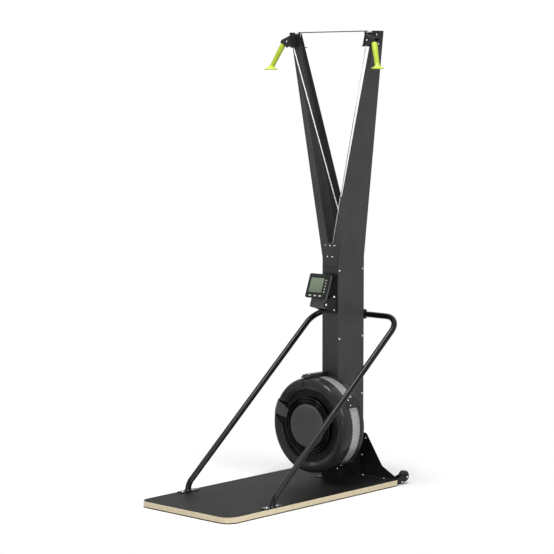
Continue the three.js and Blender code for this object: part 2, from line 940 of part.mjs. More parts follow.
// Handle axis, and where the drive cord ends above it
const handleAxis = handleFoot.clone().sub(handleTop);
const handleLength = handleAxis.length();
handleAxis.normalize();
const cordBend = handleTop.clone().addScaledVector(handleAxis, -(handleNeckRadius + cordDiameter));
const cordEnd = handleTop.clone().addScaledVector(handleAxis, -handleNeckRadius);

// Drive cord of one handle: from its drum, round the guide pulley of the other side, crossing
// the V, over its own drive pulley, to just above the handle
function driveCord(side) {
  const sign = side === "right" ? 1 : -1;
  const guideY = side === "right" ? guidePulleyYLeft : guidePulleyYRight;
  const route = cordRoute(
    [
      { x: 0, z: axleHeight, run: -driveSpoolRun, y: drumRuns[side].drive },
      { x: -sign * guidePulleyX, z: guidePulleyZ, run: sign * guidePulleyRun, y: guideY },
      { x: sign * drivePulleyX, z: drivePulleyZ, run: sign * drivePulleyRun, y: drivePulleyY },
      { x: sign * cordBend.x, z: cordBend.z, run: 0, y: cordBend.y },
    ],
    wrapSteps,
  );
  route.push(new THREE.Vector3(sign * cordEnd.x, cordEnd.y, cordEnd.z));
  return tube(route, cordDiameter / 2, cordSides);
}

add("drive_cord_right", driveCord("right"), whiteCord);
add("drive_cord_left", driveCord("left"), whiteCord);

// Elastic return cord: from one drum up its arm, across the top and down to the other drum
function returnCord() {
  const pinX = legOuterAt(returnPinHeight) - sheet - returnPinInset;
  const pinRun = returnPinRadius + cordSeat;
  const top = { z: returnPulleyZ, run: -returnPulleyRun, y: returnPulleyY };
  const pin = { z: returnPinHeight, run: pinRun, y: returnPinY };
  const route = cordRoute(
    [
      { x: 0, z: axleHeight, run: returnSpoolRun, y: drumRuns.right.back },
      { x: pinX, ...pin },
      { x: returnPulleyX, ...top },
      { x: -returnPulleyX, ...top },
      { x: -pinX, ...pin },
      { x: 0, z: axleHeight, run: -returnSpoolRun, y: drumRuns.left.back },
    ],
    wrapSteps,
  );
  return tube(route, cordDiameter / 2, cordSides);
}

add("return_cord", returnCord(), blackCord);

// Pulley housing: back plate in front of the arm, a sloping roof, a lug along the arm's side and
// a cap over the arm's end, with the bolt of the return pulley behind
function housingShape(inner) {
  const level = new THREE.Vector2(handleAxis.x, handleAxis.z).normalize();
  const across = new THREE.Vector2(-level.y, level.x);
  const mouth = new THREE.Vector2(handleTop.x, handleTop.z).addScaledVector(level, -noseGap);
  const mouthHalf = handleNeckRadius + seatGap;
  const mouthLow = mouth.clone().addScaledVector(across, -mouthHalf);
  const mouthHigh = mouth.clone().addScaledVector(across, mouthHalf);
  return roundedOutline([
    ...inner,
    [drivePulleyX - noseGap, housingBottomZ - seatGap, 0],
    [drivePulleyX + noseGap, housingBottomZ - noseDrop / 4, housingWall],
    [mouthLow.x, mouthLow.y, 0],
    [mouthHigh.x, mouthHigh.y, housingWall],
    [drivePulleyX + noseReach, drivePulleyZ + noseRise, housingWall],
  ]);
}

// The back plate reaches inwards past the return pulley, with an ear for its bolt.
function backShape() {
  const earTop = returnPulleyZ + earRise;
  const earEnd = returnPulleyX + returnPulleyRun + earRise / 2;
  return housingShape([
    [earEnd, earTop, housingWall],
    [returnPulleyX - returnPulleyRun, earTop, 0],
    [housingInnerX + earWidth, armTopHeight + noseGap, housingWall],
    [housingInnerX, armTopHeight + noseGap, housingWall],
    [housingInnerX, housingBottomZ, housingWall],
  ]);
}

function coverShape() {
  return housingShape([
    [coverInnerX, drivePulleyZ + coverRise, housingWall],
    [coverInnerX, housingBottomZ, 0],
  ]);
}

function housing() {
  const backY = housingRearY - housingSheet;
  const frontInnerY = housingFrontY + housingSheet + seatGap;
  const back = plateXZ(backShape(), housingSheet, backY);
  const roofHigh = [coverInnerX + housingWall, drivePulleyZ + coverRise - overrun];
  const roofLow = [drivePulleyX + noseReach - housingWall, drivePulleyZ + noseRise];
  const roof = plateXZ(
    outline([
      roofHigh,
      roofLow,
      [roofLow[0], roofLow[1] - housingWall],
      [roofHigh[0], roofHigh[1] - housingWall],
    ]),
    backY + sink - frontInnerY,
    frontInnerY,
  );
  const lugSection = (z) => {
    const near = legOuterAt(z) + seatGap;
    return section(near, near + housingWall, backY, backY + housingSheet + housingLugLength, z);
  };
  const capLow = armTopHeight + seatGap;
  const lug = loft([lugSection(housingLugBottomZ), lugSection(capLow + sheet)]);
  const capEnd = legOuterAt(armTopHeight) + housingWall;
  const cap = block(
    armTopHalfWidth - armTopFlange,
    backY,
    capLow,
    capEnd,
    backY + housingSheet + housingLugLength,
    capLow + sheet,
  );
  const spacerFront = drivePulleyY + drivePulleyWidth / 2 + runGap;
  const spacer = barY(
    drivePinRadius + housingWall,
    spacerFront,
    backY + sink,
    drivePulleyX,
    drivePulleyZ,
  );
  const returnBolt = barY(
    returnPinBolt,
    housingRearY - sink,
    returnPulleyY + returnPulleyWidth,
    returnPulleyX,
    returnPulleyZ,
    barSides,
  );
  const pinHole = barY(
    drivePinRadius + boreGap,
    spacerFront - overrun,
    housingRearY + overrun,
    drivePulleyX,
    drivePulleyZ,
  );
  return cut(join(back, roof, lug, cap, spacer, returnBolt), pinHole);
}

// Pulley cover: the front plate, with the drive pulley's pin
function pulleyCover() {
  const plate = plateXZ(coverShape(), housingSheet, housingFrontY);
  const pin = barY(
    drivePinRadius,
    housingFrontY + sink,
    housingRearY - seatGap,
    drivePulleyX,
    drivePulleyZ,
    barSides,
  );
  const head = barY(
    boltHeadRadius,
    housingFrontY - boltHeadHeight,
    housingFrontY + sink,
    drivePulleyX,
    drivePulleyZ,
    hexSides,
  );
  return join(plate, pin, head);
}

addPair("pulley_housing", housing, blackSteel);
addPair("pulley_cover", pulleyCover, blackSteel);

for (const [side, parent] of [
  ["right", rightSide],
  ["left", leftSide],
]) {
  const drive = add(
    "drive_pulley_" + side,
    pulley(drivePulleyRun, pulleyRim, drivePulleyWidth, drivePinRadius + boreGap),
    blackPlastic,
    parent,
  );
  drive.position.set(drivePulleyX, drivePulleyY, drivePulleyZ);
  const back = add(
    "return_pulley_" + side,
    pulley(returnPulleyRun, returnPulleyRim, returnPulleyWidth, returnPinBolt + boreGap),
    paleNylon,
    parent,
  );
  back.position.set(returnPulleyX, returnPulleyY, returnPulleyZ);
}

// Levels the sections of a turned shape between two heights along its axis and beyond, so that
// its end lies flat while the rest slants.
function levelled(geometry, axis, start, end) {
  const place = geometry.getAttribute("position");
  const point = new THREE.Vector3();
  for (let i = 0; i < place.count; i += 1) {
    point.fromBufferAttribute(place, i);
    const along = point.dot(axis);
    const share = THREE.MathUtils.clamp((along - start) / (end - start), 0, 1);
    const above = point.z - along * axis.z;
    point.addScaledVector(axis, (-share * above) / axis.z);
    place.setXYZ(i, point.x, point.y, point.z);
  }
  return geometry;
}

// Handle: a hollow slanting grip that flares into a level round stop, open below for the knot
function handle() {
  const bore = cordSeat;
  const flareStart = handleLength - handleFlareHeight;
  const rimStart = handleLength - 2 * handleFlangeThickness;
  const profile = [
    [bore, 0],
    [handleNeckRadius - sheet, 0],
    [handleNeckRadius, sheet],
    [handleGripRadius, handleLength / 3],
    [handleWaistRadius, flareStart],
    [handleWaistRadius + sheet, flareStart + handleFlareHeight / 3],
    [(handleWaistRadius + handleFlangeRadius) / 2, rimStart],
    [handleFlangeRadius, handleLength - handleFlangeThickness],
    [handleFlangeRadius, handleLength - handleFlangeThickness / 2],
    [handleFlangeRadius - sheet, handleLength],
    [knotPocketRadius, handleLength],
    [knotPocketRadius, handleLength - knotPocketDepth],
    [bore, handleLength - knotPocketDepth - knotPocketRadius / 2],
  ];
  const upright = new THREE.Vector3(0, 1, 0);
  const slant = new THREE.Quaternion().setFromUnitVectors(upright, handleAxis);
  const grip = turned(profile, smallSides).applyQuaternion(slant);
  return levelled(grip, handleAxis, flareStart, rimStart).translate(...handleTop);
}

addPair("handle", handle, limeRubber);

// The cord inside the handle, from where the drive cord ends down to its stop knot
function handleCord() {
  const start = cordEnd.clone().addScaledVector(handleAxis, seatGap);
  const knot = handleFoot.clone().addScaledVector(handleAxis, -(knotRadius + sheet));
  const stub = tube([start, handleTop.clone(), knot], cordDiameter / 2, cordSides);
  const ball = new THREE.SphereGeometry(knotRadius, barSides, cordSides).translate(...knot);
  return join(stub, ball);
}

addPair("handle_cord", handleCord, whiteCord);

// Cage rear plate: a dished plate with a boss on the column, and straps over the mesh band
function cageRearPlate() {
  const bore = bearingRadius + seatGap;
  const lipInner = cageRadius - cageSheet;
  const plate = turned(
    [
      [bore, columnFrontY - seatGap],
      [cageBossRadius, columnFrontY - seatGap],
      [cageBossRadius, cageRearY],
      [cageRadius, cageRearY],
      [cageRadius, rearLipY],
      [lipInner, rearLipY],
      [lipInner, cageRearY - cageSheet],
      [bore, cageRearY - cageSheet],
    ],
    cageSides,
  );
  const strap = (share, frontY, lift) => {
    const half = strapWidth / 2;
    const low = cageRadius + runGap;
    const top = low + lift + cageSheet;
    const sag = cageRadius - Math.sqrt(cageRadius ** 2 - half ** 2);
    const footFront = cageRearY - cageSheet;
    const shell = block(-half, frontY, low, half, cageRearY, top);
    const hollow = block(
      cageSheet - half,
      frontY + cageSheet,
      low - overrun,
      half - cageSheet,
      footFront,
      top - cageSheet,
    );
    const foot = block(-half, footFront, cageRadius - sag - cageSheet, half, cageRearY, top);
    return join(cut(shell, hollow), foot).rotateY(Math.PI / 2 - share * 2 * Math.PI);
  };
  const sides = sideStrapShares.map((share) => strap(share, cageSkirtRearY - strapLap, cageSheet));
  return join(plate, strap(topStrapShare, strapFrontY, strapLift), ...sides).translate(0, 0, axleHeight);
}

add("cage_rear_plate", cageRearPlate(), blackPlastic);

// Mesh band: the thin perforated ring that lets the air out
function meshBand() {
  const outer = cageRadius - cageSheet - seatGap;
  const inner = outer - meshThickness;
  return turned(
    [
      [inner, cageMeshFrontY],
      [outer, cageMeshFrontY],
      [outer, cageMeshRearY],
      [inner, cageMeshRearY],
    ],
    cageSides,
  ).translate(0, 0, axleHeight);
}

add("mesh_band", meshBand(), greyMesh);

// A wedge about the axle between two shares of a turn, counted as the user sees them, from the
// right upwards, and between two y.
function wedge(fromShare, toShare, frontY, rearY) {
  const reach = 2 * cageRadius;
  const corner = (share) => {
    const angle = share * 2 * Math.PI;
    return [reach * Math.cos(angle), reach * Math.sin(angle)];
  };
  const middle = (fromShare + toShare) / 2;
  const shape = outline([[0, 0], corner(fromShare), corner(middle), corner(toShare)]);
  return plateXZ(shape, rearY - frontY, frontY);
}

// The outside of the cover from its skirt over the rounded corner and the face to the mouth,
// grown by some amount
function coverFace(grow) {
  const points = [[cageRadius + grow, cageSkirtRearY]];
  for (let i = 0; i <= arcSteps; i += 1) {
    const angle = ((i / arcSteps) * Math.PI) / 2;
    points.push([
      cageRadius - cageCorner + (cageCorner + grow) * Math.cos(angle),
      cageFrontY + cageCorner - (cageCorner + grow) * Math.sin(angle),
    ]);
  }
  points.push([cageInnerRadius + mouthSlope, cageFrontY - grow]);
  return points;
}

// Cage front cover: a moulded ring with a recess in which the lever moves, and a spoked grille
// round the middle
function cageFrontCover() {
  const wall = cageSheet;
  const mouth = cageFrontY + mouthDepth;
  const lip = [
    [cageInnerRadius, mouth],
    [cageInnerRadius, grilleY],
    [cageInnerRadius + wall, grilleY],
    [cageInnerRadius + wall, mouth + wall / 2],
  ];
  const inside = coverFace(-wall).reverse();
  const whole = turned([...coverFace(0), ...lip, ...inside], cageSides);
  const recessed = whole.clone().translate(0, channelDepth, 0);
  const deep = (points) => points.map(([r, y]) => [r, y + channelDepth]);
  const thick = turned([...coverFace(0), lip[0], ...deep(lip.slice(1)), ...deep(inside)], cageSides);
  const [low, high] = channelAnglesShare;
  const front = cageFrontY - overrun;
  const rear = cageFrontY + channelRear;
  const channel = wedge(low, high, front, rear);
  const lap = channelWallShare / 2;
  const ends = [
    wedge(low - channelWallShare, low, front, rear + overrun),
    wedge(high, high + channelWallShare, front, rear + overrun),
  ];
  const ring = join(
    cut(whole, channel),
    common(recessed, wedge(low - lap, high + lap, front, rear + overrun)),
    ...ends.map((end) => common(thick, end)),
  );
  const deck = turned(
    [
      [grilleRingInner, grilleY - grilleDepth / 2],
      [grilleRingOuter, grilleY - grilleDepth / 2],
      [grilleRingOuter, grilleY],
      [grilleRingInner, grilleY],
    ],
    discSides,
  );
  const spokes = [];
  for (let i = 0; i < grilleSpokes; i += 1) {
    const spoke = block(
      -spokeWidth / 2,
      grilleY - grilleDepth,
      grilleRingOuter - overrun,
      spokeWidth / 2,
      grilleY - sink,
      cageInnerRadius + wall / 2,
    );
    spokes.push(spoke.rotateY((i / grilleSpokes) * 2 * Math.PI));
  }
  return join(ring, deck, ...spokes).translate(0, 0, axleHeight);
}

add("cage_front_cover", cageFrontCover(), blackPlastic);

// Centre cap: a shallow moulded dish that stands on the grille's deck
function centreCap() {
  const edge = capSheet / 2;
  return turned(
    [
      [0, capFrontY],
      [capRadius - 4 * edge, capFrontY],
      [capRadius - edge, capFrontY + edge],
      [capRadius, capFrontY + 3 * edge],
      [capRadius, grilleY - grilleDepth / 2 - seatGap],
      [capRadius - capSheet, grilleY - grilleDepth / 2 - seatGap],
      [capRadius - capSheet, capFrontY + capSheet],
      [0, capFrontY + capSheet],
    ],
    discSides,
  ).translate(0, 0, axleHeight);
}

add("centre_cap", centreCap(), blackPlastic);

// Damper ring: three concentric ridges round the cap, and a lever in the recess of the cover,
// bent back over the cover's corner
function damperRing() {
  const band = (damperOuter - damperInner) / 5;
  const deep = damperFrontY + damperGroove;
  const at = (steps) => damperInner + steps * band;
  const ring = turned(
    [
      [damperInner, damperRearY],
      [damperInner, damperFrontY],
      [at(1), damperFrontY],
      [at(1), deep],
      [at(2), deep],
      [at(2), damperFrontY],
      [at(3), damperFrontY],
      [at(3), deep],
      [at(4), deep],
      [at(4), damperFrontY],
      [damperOuter, damperFrontY],
      [damperOuter, damperRearY],
    ],
    discSides,
  );
  const leverGap = 2 * runGap;
  const root = damperOuter - band;
  const grip = cageFrontY + cageCorner + leverGripDepth;
  const over = (grow) => {
    const [, ...face] = coverFace(grow);
    const points = face.map(([r, y]) => [r, y + channelDepth]);
    return [[points[0][0], grip], ...points, [root, points.at(-1)[1]]];
  };
  const bent = turned([...over(leverGap + leverThickness), ...over(leverGap).reverse()], cageSides);
  const share = (degrees) => degrees / 360;
  const lever = common(
    bent,
    wedge(
      share(leverAngle - leverAngleHalf),
      share(leverAngle + leverAngleHalf),
      cageFrontY - cageCorner,
      grip + overrun,
    ),
  );
  return join(ring, lever).translate(0, 0, axleHeight);
}

add("damper_ring", damperRing(), blackPlastic);

// Fan rotor: hub, back disc and heavy rim turned in one, with swept blades standing on the disc
function blade() {
  const inner = [];
  const outer = [];
  for (let s = 0; s <= bladeSteps; s += 1) {
    const share = s / bladeSteps;
    const radius = THREE.MathUtils.lerp(bladeInner, bladeOuter, share);
    const angle = THREE.MathUtils.degToRad(bladeSweep) * share * share;
    const half = bladeThickness / 2 / radius;
    inner.push([radius * Math.cos(angle - half), radius * Math.sin(angle - half)]);
    outer.push([radius * Math.cos(angle + half), radius * Math.sin(angle + half)]);
  }
  const root = rotorDiscY - rotorDiscThickness + sink;
  return plateXZ(outline([...inner, ...outer.reverse()]), bladeHeight, root - bladeHeight);
}

function fanRotor() {
  const bore = shaftRadius + boreGap;
  const discFront = rotorDiscY - rotorDiscThickness;
  const body = turned(
    [
      [bore, rotorDiscY],
      [rotorRadius, rotorDiscY],
      [rotorRadius, discFront],
      [rotorRimOuter, discFront],
      [rotorRimOuter, discFront - rotorRimThickness],
      [rotorRimInner, discFront - rotorRimThickness],
      [rotorRimInner, discFront],
      [rotorHubRadius, discFront],
      [rotorHubRadius * 0.8, rotorHubFrontY],
      [bore, rotorHubFrontY],
    ],
    discSides,
  );
  const blades = [];
  for (let i = 0; i < bladeCount; i += 1) {
    blades.push(blade().rotateY((i / bladeCount) * 2 * Math.PI));
  }
  return join(body, ...blades).translate(0, 0, axleHeight);
}

add("fan_rotor", fanRotor(), alloy);

// Base bracket: a cheek on the column's side, a wing behind the board's edge and a foot
function baseBracket() {
  const low = boardTop + seatGap;
  const near = columnWidth / 2 + seatGap;
  const cheekShape = roundedOutline([
    [columnFrontY, low, 0],
    [columnRearY, low, 0],
    [columnRearY, cheekTopZ, wingPeakRadius],
    [columnFrontY, cheekTopZ, wingPeakRadius],
  ]);
  const cheek = plateYZ(cheekShape, bracketSheet, near);
  const wingShape = roundedOutline([
    [near + bracketSheet / 2, low, 0],
    [wingTipX, low, 0],
    [wingTipX, wingTipZ, 0],
    [wingKinkX, wingKinkZ, wingPeakRadius],
    [wingPeakX, wingPeakZ, wingPeakRadius],
    [near + bracketSheet / 2, wingPeakZ, 0],
  ]);
  const wing = plateXZ(wingShape, bracketSheet, wingY);
  const foot = block(
    near + bracketSheet / 2,
    wingY - wingFootDepth,
    low,
    wingTipX,
    wingY + bracketSheet / 2,
    low + bracketSheet,
  );
  return join(cheek, wing, foot);
}

addPair("base_bracket", baseBracket, blackSteel);

// Front foot: an angle that ties the column's front to the board
function frontFoot() {
  const low = boardTop + seatGap;
  const rear = columnFrontY - seatGap;
  const upright = plateXZ(
    roundedOutline([
      [-columnWidth / 2, low, 0],
      [columnWidth / 2, low, 0],
      [columnWidth / 2, low + frontFootHeight, bracketSheet],
      [-columnWidth / 2, low + frontFootHeight, bracketSheet],
    ]),
    bracketSheet,
    rear - bracketSheet,
  );
  const sole = plateXY(
    roundedBox(
      frontFootWidth,
      frontFootReach,
      2 * bracketSheet,
      0,
      rear - frontFootReach / 2,
    ),
    bracketSheet,
    low,
  );
  return join(upright, sole);
}

add("front_foot_bracket", frontFoot(), blackSteel);

// Support tube: from the clamp behind the column, round one bend, down to its plate on the board
function supportTube() {
  const end = boardTop + seatGap + tubeFootPlateThickness - sink;
  const kneeY = tubeFootY + (tubeFootKneeZ - end) / 4;
  const route = bentRoute(
    [
      { at: new THREE.Vector3(seatGap, tubeBarY, tubeBarZ) },
      { at: new THREE.Vector3(tubeSideX, tubeBarY, tubeBarZ), bend: tubeBendRadius },
      { at: new THREE.Vector3(tubeSideX, kneeY, tubeFootKneeZ), bend: tubeFootBendRadius },
      { at: new THREE.Vector3(tubeSideX, tubeFootY, end) },
    ],
    8,
  );
  const plate = plateXY(
    roundedBox(
      tubeFootPlateWidth,
      tubeFootPlateLength,
      tubeFootPlateWidth / 4,
      tubeSideX - tubeFootPlateThickness,
      tubeFootPlateFrontY + tubeFootPlateLength / 2,
    ),
    tubeFootPlateThickness,
    boardTop + seatGap,
  );
  return join(tube(route, tubeRadius, tubeSides), plate);
}

addPair("support_tube", supportTube, blackSteel);

// Tube clamp: a block behind the rear panel with a bore for both tube ends
function tubeClamp() {
  const front = columnRearY + seatGap;
  const rear = tubeBarY + tubeRadius + clampPlate;
  const body = plateYZ(
    roundedOutline([
      [front, tubeBarZ - clampHeight / 2, 0],
      [rear, tubeBarZ - clampHeight / 2, clampPlate * 2],
      [rear, tubeBarZ + clampHeight / 2, clampPlate * 2],
      [front, tubeBarZ + clampHeight / 2, 0],
    ]),
    clampWidth,
    -clampWidth / 2,
  );
  const bore = barX(
    tubeRadius + seatGap,
    -clampWidth / 2 - overrun,
    clampWidth / 2 + overrun,
    tubeBarY,
    tubeBarZ,
    smallSides,
  );
  return cut(body, bore);
}

add("tube_clamp", tubeClamp(), blackSteel);

// Transport wheel fork: a plate on the board's rear edge, two cheeks and the wheel's axle
function wheelFork() {
  const half = wheelWidth / 2 + runGap;
  const plate = plateXZ(
    roundedOutline([
      [wheelX - half - forkCheek, boardTop - forkPlateHeight, 0],
      [wheelX + half + forkCheek, boardTop - forkPlateHeight, 0],
      [wheelX + half + forkCheek, boardTop + forkCheek, 0],
      [wheelX - half - forkCheek, boardTop + forkCheek, 0],
    ]),
    forkCheek,
    seatGap,
  );
  const cheekShape = roundedOutline([
    [seatGap, boardTop - forkPlateHeight, 0],
    [forkHeelReach, boardTop - forkPlateHeight, forkEndRadius / 2],
    [wheelY + forkEndRadius, wheelZ, forkEndRadius / 2],
    [wheelY, wheelZ + forkEndRadius, forkEndRadius / 2],
    [seatGap, boardTop + forkCheek, 0],
  ]);
  const outer = plateYZ(cheekShape, forkCheek, wheelX + half);
  const inner = plateYZ(cheekShape, forkCheek, wheelX - half - forkCheek);
  const axle = barX(
    wheelAxleRadius,
    wheelX - half - sink,
    wheelX + half + sink,
    wheelY,
    wheelZ,
    barSides,
  );
  return join(plate, outer, inner, axle);
}

addPair("wheel_fork", wheelFork, blackSteel);

function transportWheel() {
  const half = wheelWidth / 2;
  const tread = wheelRadius / 9;
  const hub = wheelAxleRadius + 2 * tread;
  const face = half - tread / 2;
  return turned(
    [
      [wheelAxleRadius + boreGap, -half],
      [hub, -half],
      [hub + tread, -face],
      [wheelRadius - tread, -face],
      [wheelRadius, tread - half],
      [wheelRadius, half - tread],
      [wheelRadius - tread, face],
      [hub + tread, face],
      [hub, half],
      [wheelAxleRadius + boreGap, half],
    ],
    smallSides,
  )
    .rotateZ(Math.PI / 2)
    .translate(wheelX, wheelY, wheelZ);
}

addPair("transport_wheel", transportWheel, rubber);

// The monitor is laid out flat about the middle of its face, and leans back as one group
const monitor = new THREE.Group();
monitor.position.set(0, monitorFaceY, monitorFaceZ);
monitor.rotation.x = -THREE.MathUtils.degToRad(monitorTilt);
machine.add(monitor);

const keyPlaces = [];
for (let i = 0; i < keyCount; i += 1) {
  keyPlaces.push({ name: "menu_key_" + (i + 1), u: keyX, v: keyTopV - i * keyPitch, wide: false });
}
for (let i = 0; i < 3; i += 1) {
  const u = wideKeyX + i * wideKeyPitch;
  keyPlaces.push({ name: "wide_key_" + (i + 1), u, v: wideKeyV, wide: true });
}

function keyShape({ u, v, wide }, grow) {
  const width = (wide ? wideKeyWidth : 2 * keyRadius) + 2 * grow;
  const height = (wide ? wideKeyHeight : 2 * keyRadius) + 2 * grow;
  return roundedBox(width, height, height / 2 - seatGap, u, v);
}

function monitorFront() {
  const shell = plateXZ(roundedBox(monitorWidth, monitorHeight, monitorCorner), monitorFrontDepth, 0);
  const inner = plateXZ(
    roundedBox(monitorWidth - 2 * sheet, monitorHeight - 2 * sheet, monitorCorner - sheet),
    monitorFrontDepth,
    2 * sheet,
  );
  const window = plateXZ(
    roundedBox(screenWidth, screenHeight, sheet, screenX, 0),
    2 * sheet + 2 * overrun,
    -overrun,
  );
  const keyHoles = keyPlaces.map((key) =>
    plateXZ(keyShape(key, runGap / 2), 2 * sheet + 2 * overrun, -overrun),
  );
  return cut(shell, inner, window, ...keyHoles);
}

// Back shell: a tapered box behind the front shell, with the battery box hanging below it
const pivotInMonitor = new THREE.Vector3(0, monitorPivotY - monitorFaceY, monitorPivotZ - monitorFaceZ)
  .applyAxisAngle(new THREE.Vector3(1, 0, 0), THREE.MathUtils.degToRad(monitorTilt));

function monitorBack() {
  const low = monitorFrontDepth + seatGap;
  const high = low + monitorBackDepth;
  const ring = (inset, y) => [
    [inset - monitorWidth / 2, y, inset - monitorHeight / 2],
    [monitorWidth / 2 - inset, y, inset - monitorHeight / 2],
    [monitorWidth / 2 - inset, y, monitorHeight / 2 - inset],
    [inset - monitorWidth / 2, y, monitorHeight / 2 - inset],
  ];
  const shell = loft([ring(sheet / 2, low), ring(sheet, low + monitorBackDepth / 2), ring(3 * sheet, high)]);
  const batteryTop = sheet - monitorHeight / 2 + 2 * sheet;
  const batteryBottom = pivotInMonitor.z - batteryHeight / 3;
  const battery = plateYZ(
    roundedOutline([
      [pivotInMonitor.y - batteryDepth / 2, batteryBottom, batteryDepth / 3],
      [pivotInMonitor.y + batteryDepth / 2, batteryBottom, batteryDepth / 3],
      [pivotInMonitor.y + batteryDepth / 2, batteryTop, 0],
      [Math.max(low, pivotInMonitor.y - batteryDepth / 2), batteryTop, 0],
      [pivotInMonitor.y - batteryDepth / 2, seatGap - monitorHeight / 2 - runGap, 0],
    ]),
    batteryWidth,
    -batteryWidth / 2,
  );
  const hole = barX(
    pivotRadius + boreGap,
    -batteryWidth / 2 - overrun,
    batteryWidth / 2 + overrun,
    pivotInMonitor.y,
    pivotInMonitor.z,
    barSides,
  );
  return cut(join(shell, battery), hole);
}

function monitorScreen() {
  return plateXZ(
    roundedBox(screenWidth - 2 * seatGap, screenHeight - 2 * seatGap, sheet, screenX, 0),
    screenThickness,
    screenRecess,
  );
}

add("monitor_front", monitorFront(), blackPlastic, monitor);
add("monitor_back", monitorBack(), blackPlastic, monitor);
add("monitor_screen", monitorScreen(), glass, monitor);

for (const key of keyPlaces) {
  const proud = keyTravel + seatGap;
  add(key.name, plateXZ(keyShape(key, 0), keyHeight + proud, -proud), keyRubber, monitor);
}

// Monitor bracket: a plate on the column's front, two cheeks and the pivot bolt
function monitorBracket() {
  const rear = columnFrontY - seatGap;
  const plate = plateXZ(
    roundedOutline([
      [-monitorPlateWidth / 2, monitorPlateBottom, bracketSheet],
      [monitorPlateWidth / 2, monitorPlateBottom, bracketSheet],
      [monitorPlateWidth / 2, monitorPlateTop, bracketSheet],
      [-monitorPlateWidth / 2, monitorPlateTop, bracketSheet],
    ]),
    bracketSheet,
    rear - bracketSheet,
  );
  const cheekShape = roundedOutline([
    [rear - bracketSheet / 2, monitorPlateBottom + bracketSheet, 0],
    [rear - bracketSheet / 2, monitorPlateTop - bracketSheet, 0],
    [rear - cheekEndRadius, monitorPlateTop - bracketSheet, cheekEndRadius / 2],
    [monitorPivotY, monitorPivotZ + cheekEndRadius, cheekEndRadius / 2],
    [monitorPivotY - cheekEndRadius, monitorPivotZ, cheekEndRadius / 2],
    [monitorPivotY, monitorPivotZ - cheekEndRadius, cheekEndRadius / 2],
  ]);
  const near = batteryWidth / 2 + runGap;
  const right = plateYZ(cheekShape, bracketSheet, near);
  const left = plateYZ(cheekShape, bracketSheet, -near - bracketSheet);
  const half = near + bracketSheet;
  const bolt = barX(pivotRadius, -half, half, monitorPivotY, monitorPivotZ, barSides);
  const headNear = half - sink;
  const headFar = half + boltHeadHeight;
  const rightHead = barX(boltHeadRadius, headNear, headFar, monitorPivotY, monitorPivotZ, barSides);
  const leftHead = barX(boltHeadRadius, -headFar, -headNear, monitorPivotY, monitorPivotZ, barSides);
  return join(plate, right, left, bolt, rightHead, leftHead);
}

add("monitor_bracket", monitorBracket(), blackSteel);

export default machine;
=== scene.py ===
# %% [markdown]
# A ski trainer: two handles on cords turn a fan in a round cage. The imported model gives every
# piece its place and size. The whole machine could be modelled afresh here, but then nothing
# would fit the model that moves, so each new mesh stands for a node of it and rides on the same
# body.

# %% Load the frame
import json
import math

import bmesh
import bpy
import numpy as np
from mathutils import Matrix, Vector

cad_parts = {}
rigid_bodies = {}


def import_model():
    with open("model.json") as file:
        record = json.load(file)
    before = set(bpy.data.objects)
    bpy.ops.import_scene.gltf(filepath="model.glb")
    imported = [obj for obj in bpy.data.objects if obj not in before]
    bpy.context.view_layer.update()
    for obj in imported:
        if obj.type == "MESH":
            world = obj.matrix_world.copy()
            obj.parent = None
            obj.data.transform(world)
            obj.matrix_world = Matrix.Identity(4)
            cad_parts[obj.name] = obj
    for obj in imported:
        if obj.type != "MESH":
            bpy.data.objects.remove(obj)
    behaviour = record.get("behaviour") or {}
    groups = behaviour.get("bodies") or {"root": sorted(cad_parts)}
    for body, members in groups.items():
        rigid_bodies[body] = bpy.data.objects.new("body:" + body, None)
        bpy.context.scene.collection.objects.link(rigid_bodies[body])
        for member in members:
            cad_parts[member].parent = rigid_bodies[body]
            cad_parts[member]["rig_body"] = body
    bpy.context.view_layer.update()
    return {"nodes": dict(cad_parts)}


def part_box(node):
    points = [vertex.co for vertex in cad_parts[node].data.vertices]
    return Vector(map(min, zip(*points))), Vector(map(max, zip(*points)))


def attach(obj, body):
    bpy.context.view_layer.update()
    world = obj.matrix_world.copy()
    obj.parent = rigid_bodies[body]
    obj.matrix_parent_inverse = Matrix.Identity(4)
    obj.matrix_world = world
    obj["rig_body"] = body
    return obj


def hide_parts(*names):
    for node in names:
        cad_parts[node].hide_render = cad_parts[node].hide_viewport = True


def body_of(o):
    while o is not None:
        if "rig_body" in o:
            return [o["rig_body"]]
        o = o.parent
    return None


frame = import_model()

# A millimetre in metres, and the machine's two sides with the sign of x on each.
MM = 0.001
SIDES = (("right", 1), ("left", -1))

# %% [markdown]
# The machine was laid out in millimetres from the rear edge of its board: x to the user's right,
# y away from the user, z up from the floor. The shapes below could be typed in metres about the
# model's middle, but in the layout's own millimetres each number is one that a ruler would give.

# %% From layout millimetres to the frame

REAR_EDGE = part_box("floor_board")[1][1]
BOARD_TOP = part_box("floor_board")[1][2] / MM


def layout(points):
    """Layout millimetres to frame metres: p * 0.001, then moved along y to the rear edge."""
    return np.asarray(points, float) * MM + np.array([0.0, REAR_EDGE, 0.0])


def node_box(node):
    """The lowest and highest corner of a node of the frame, in layout millimetres."""
    low, high = np.array(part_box(node))
    shift = np.array([0.0, REAR_EDGE, 0.0])
    return (low - shift) / MM, (high - shift) / MM


print("rear edge at y = %.4f m, board top at %.1f mm" % (REAR_EDGE, BOARD_TOP))

# %% [markdown]
# Blender's shaders count colour in linear light, and a colour that was picked by eye is an sRGB
# hex value. Each could be turned by hand where it is used. One function does it for all of them,
# and one more adds a node with its settings and links, so that a material reads from top to
# bottom.

# %% Colour and node helpers


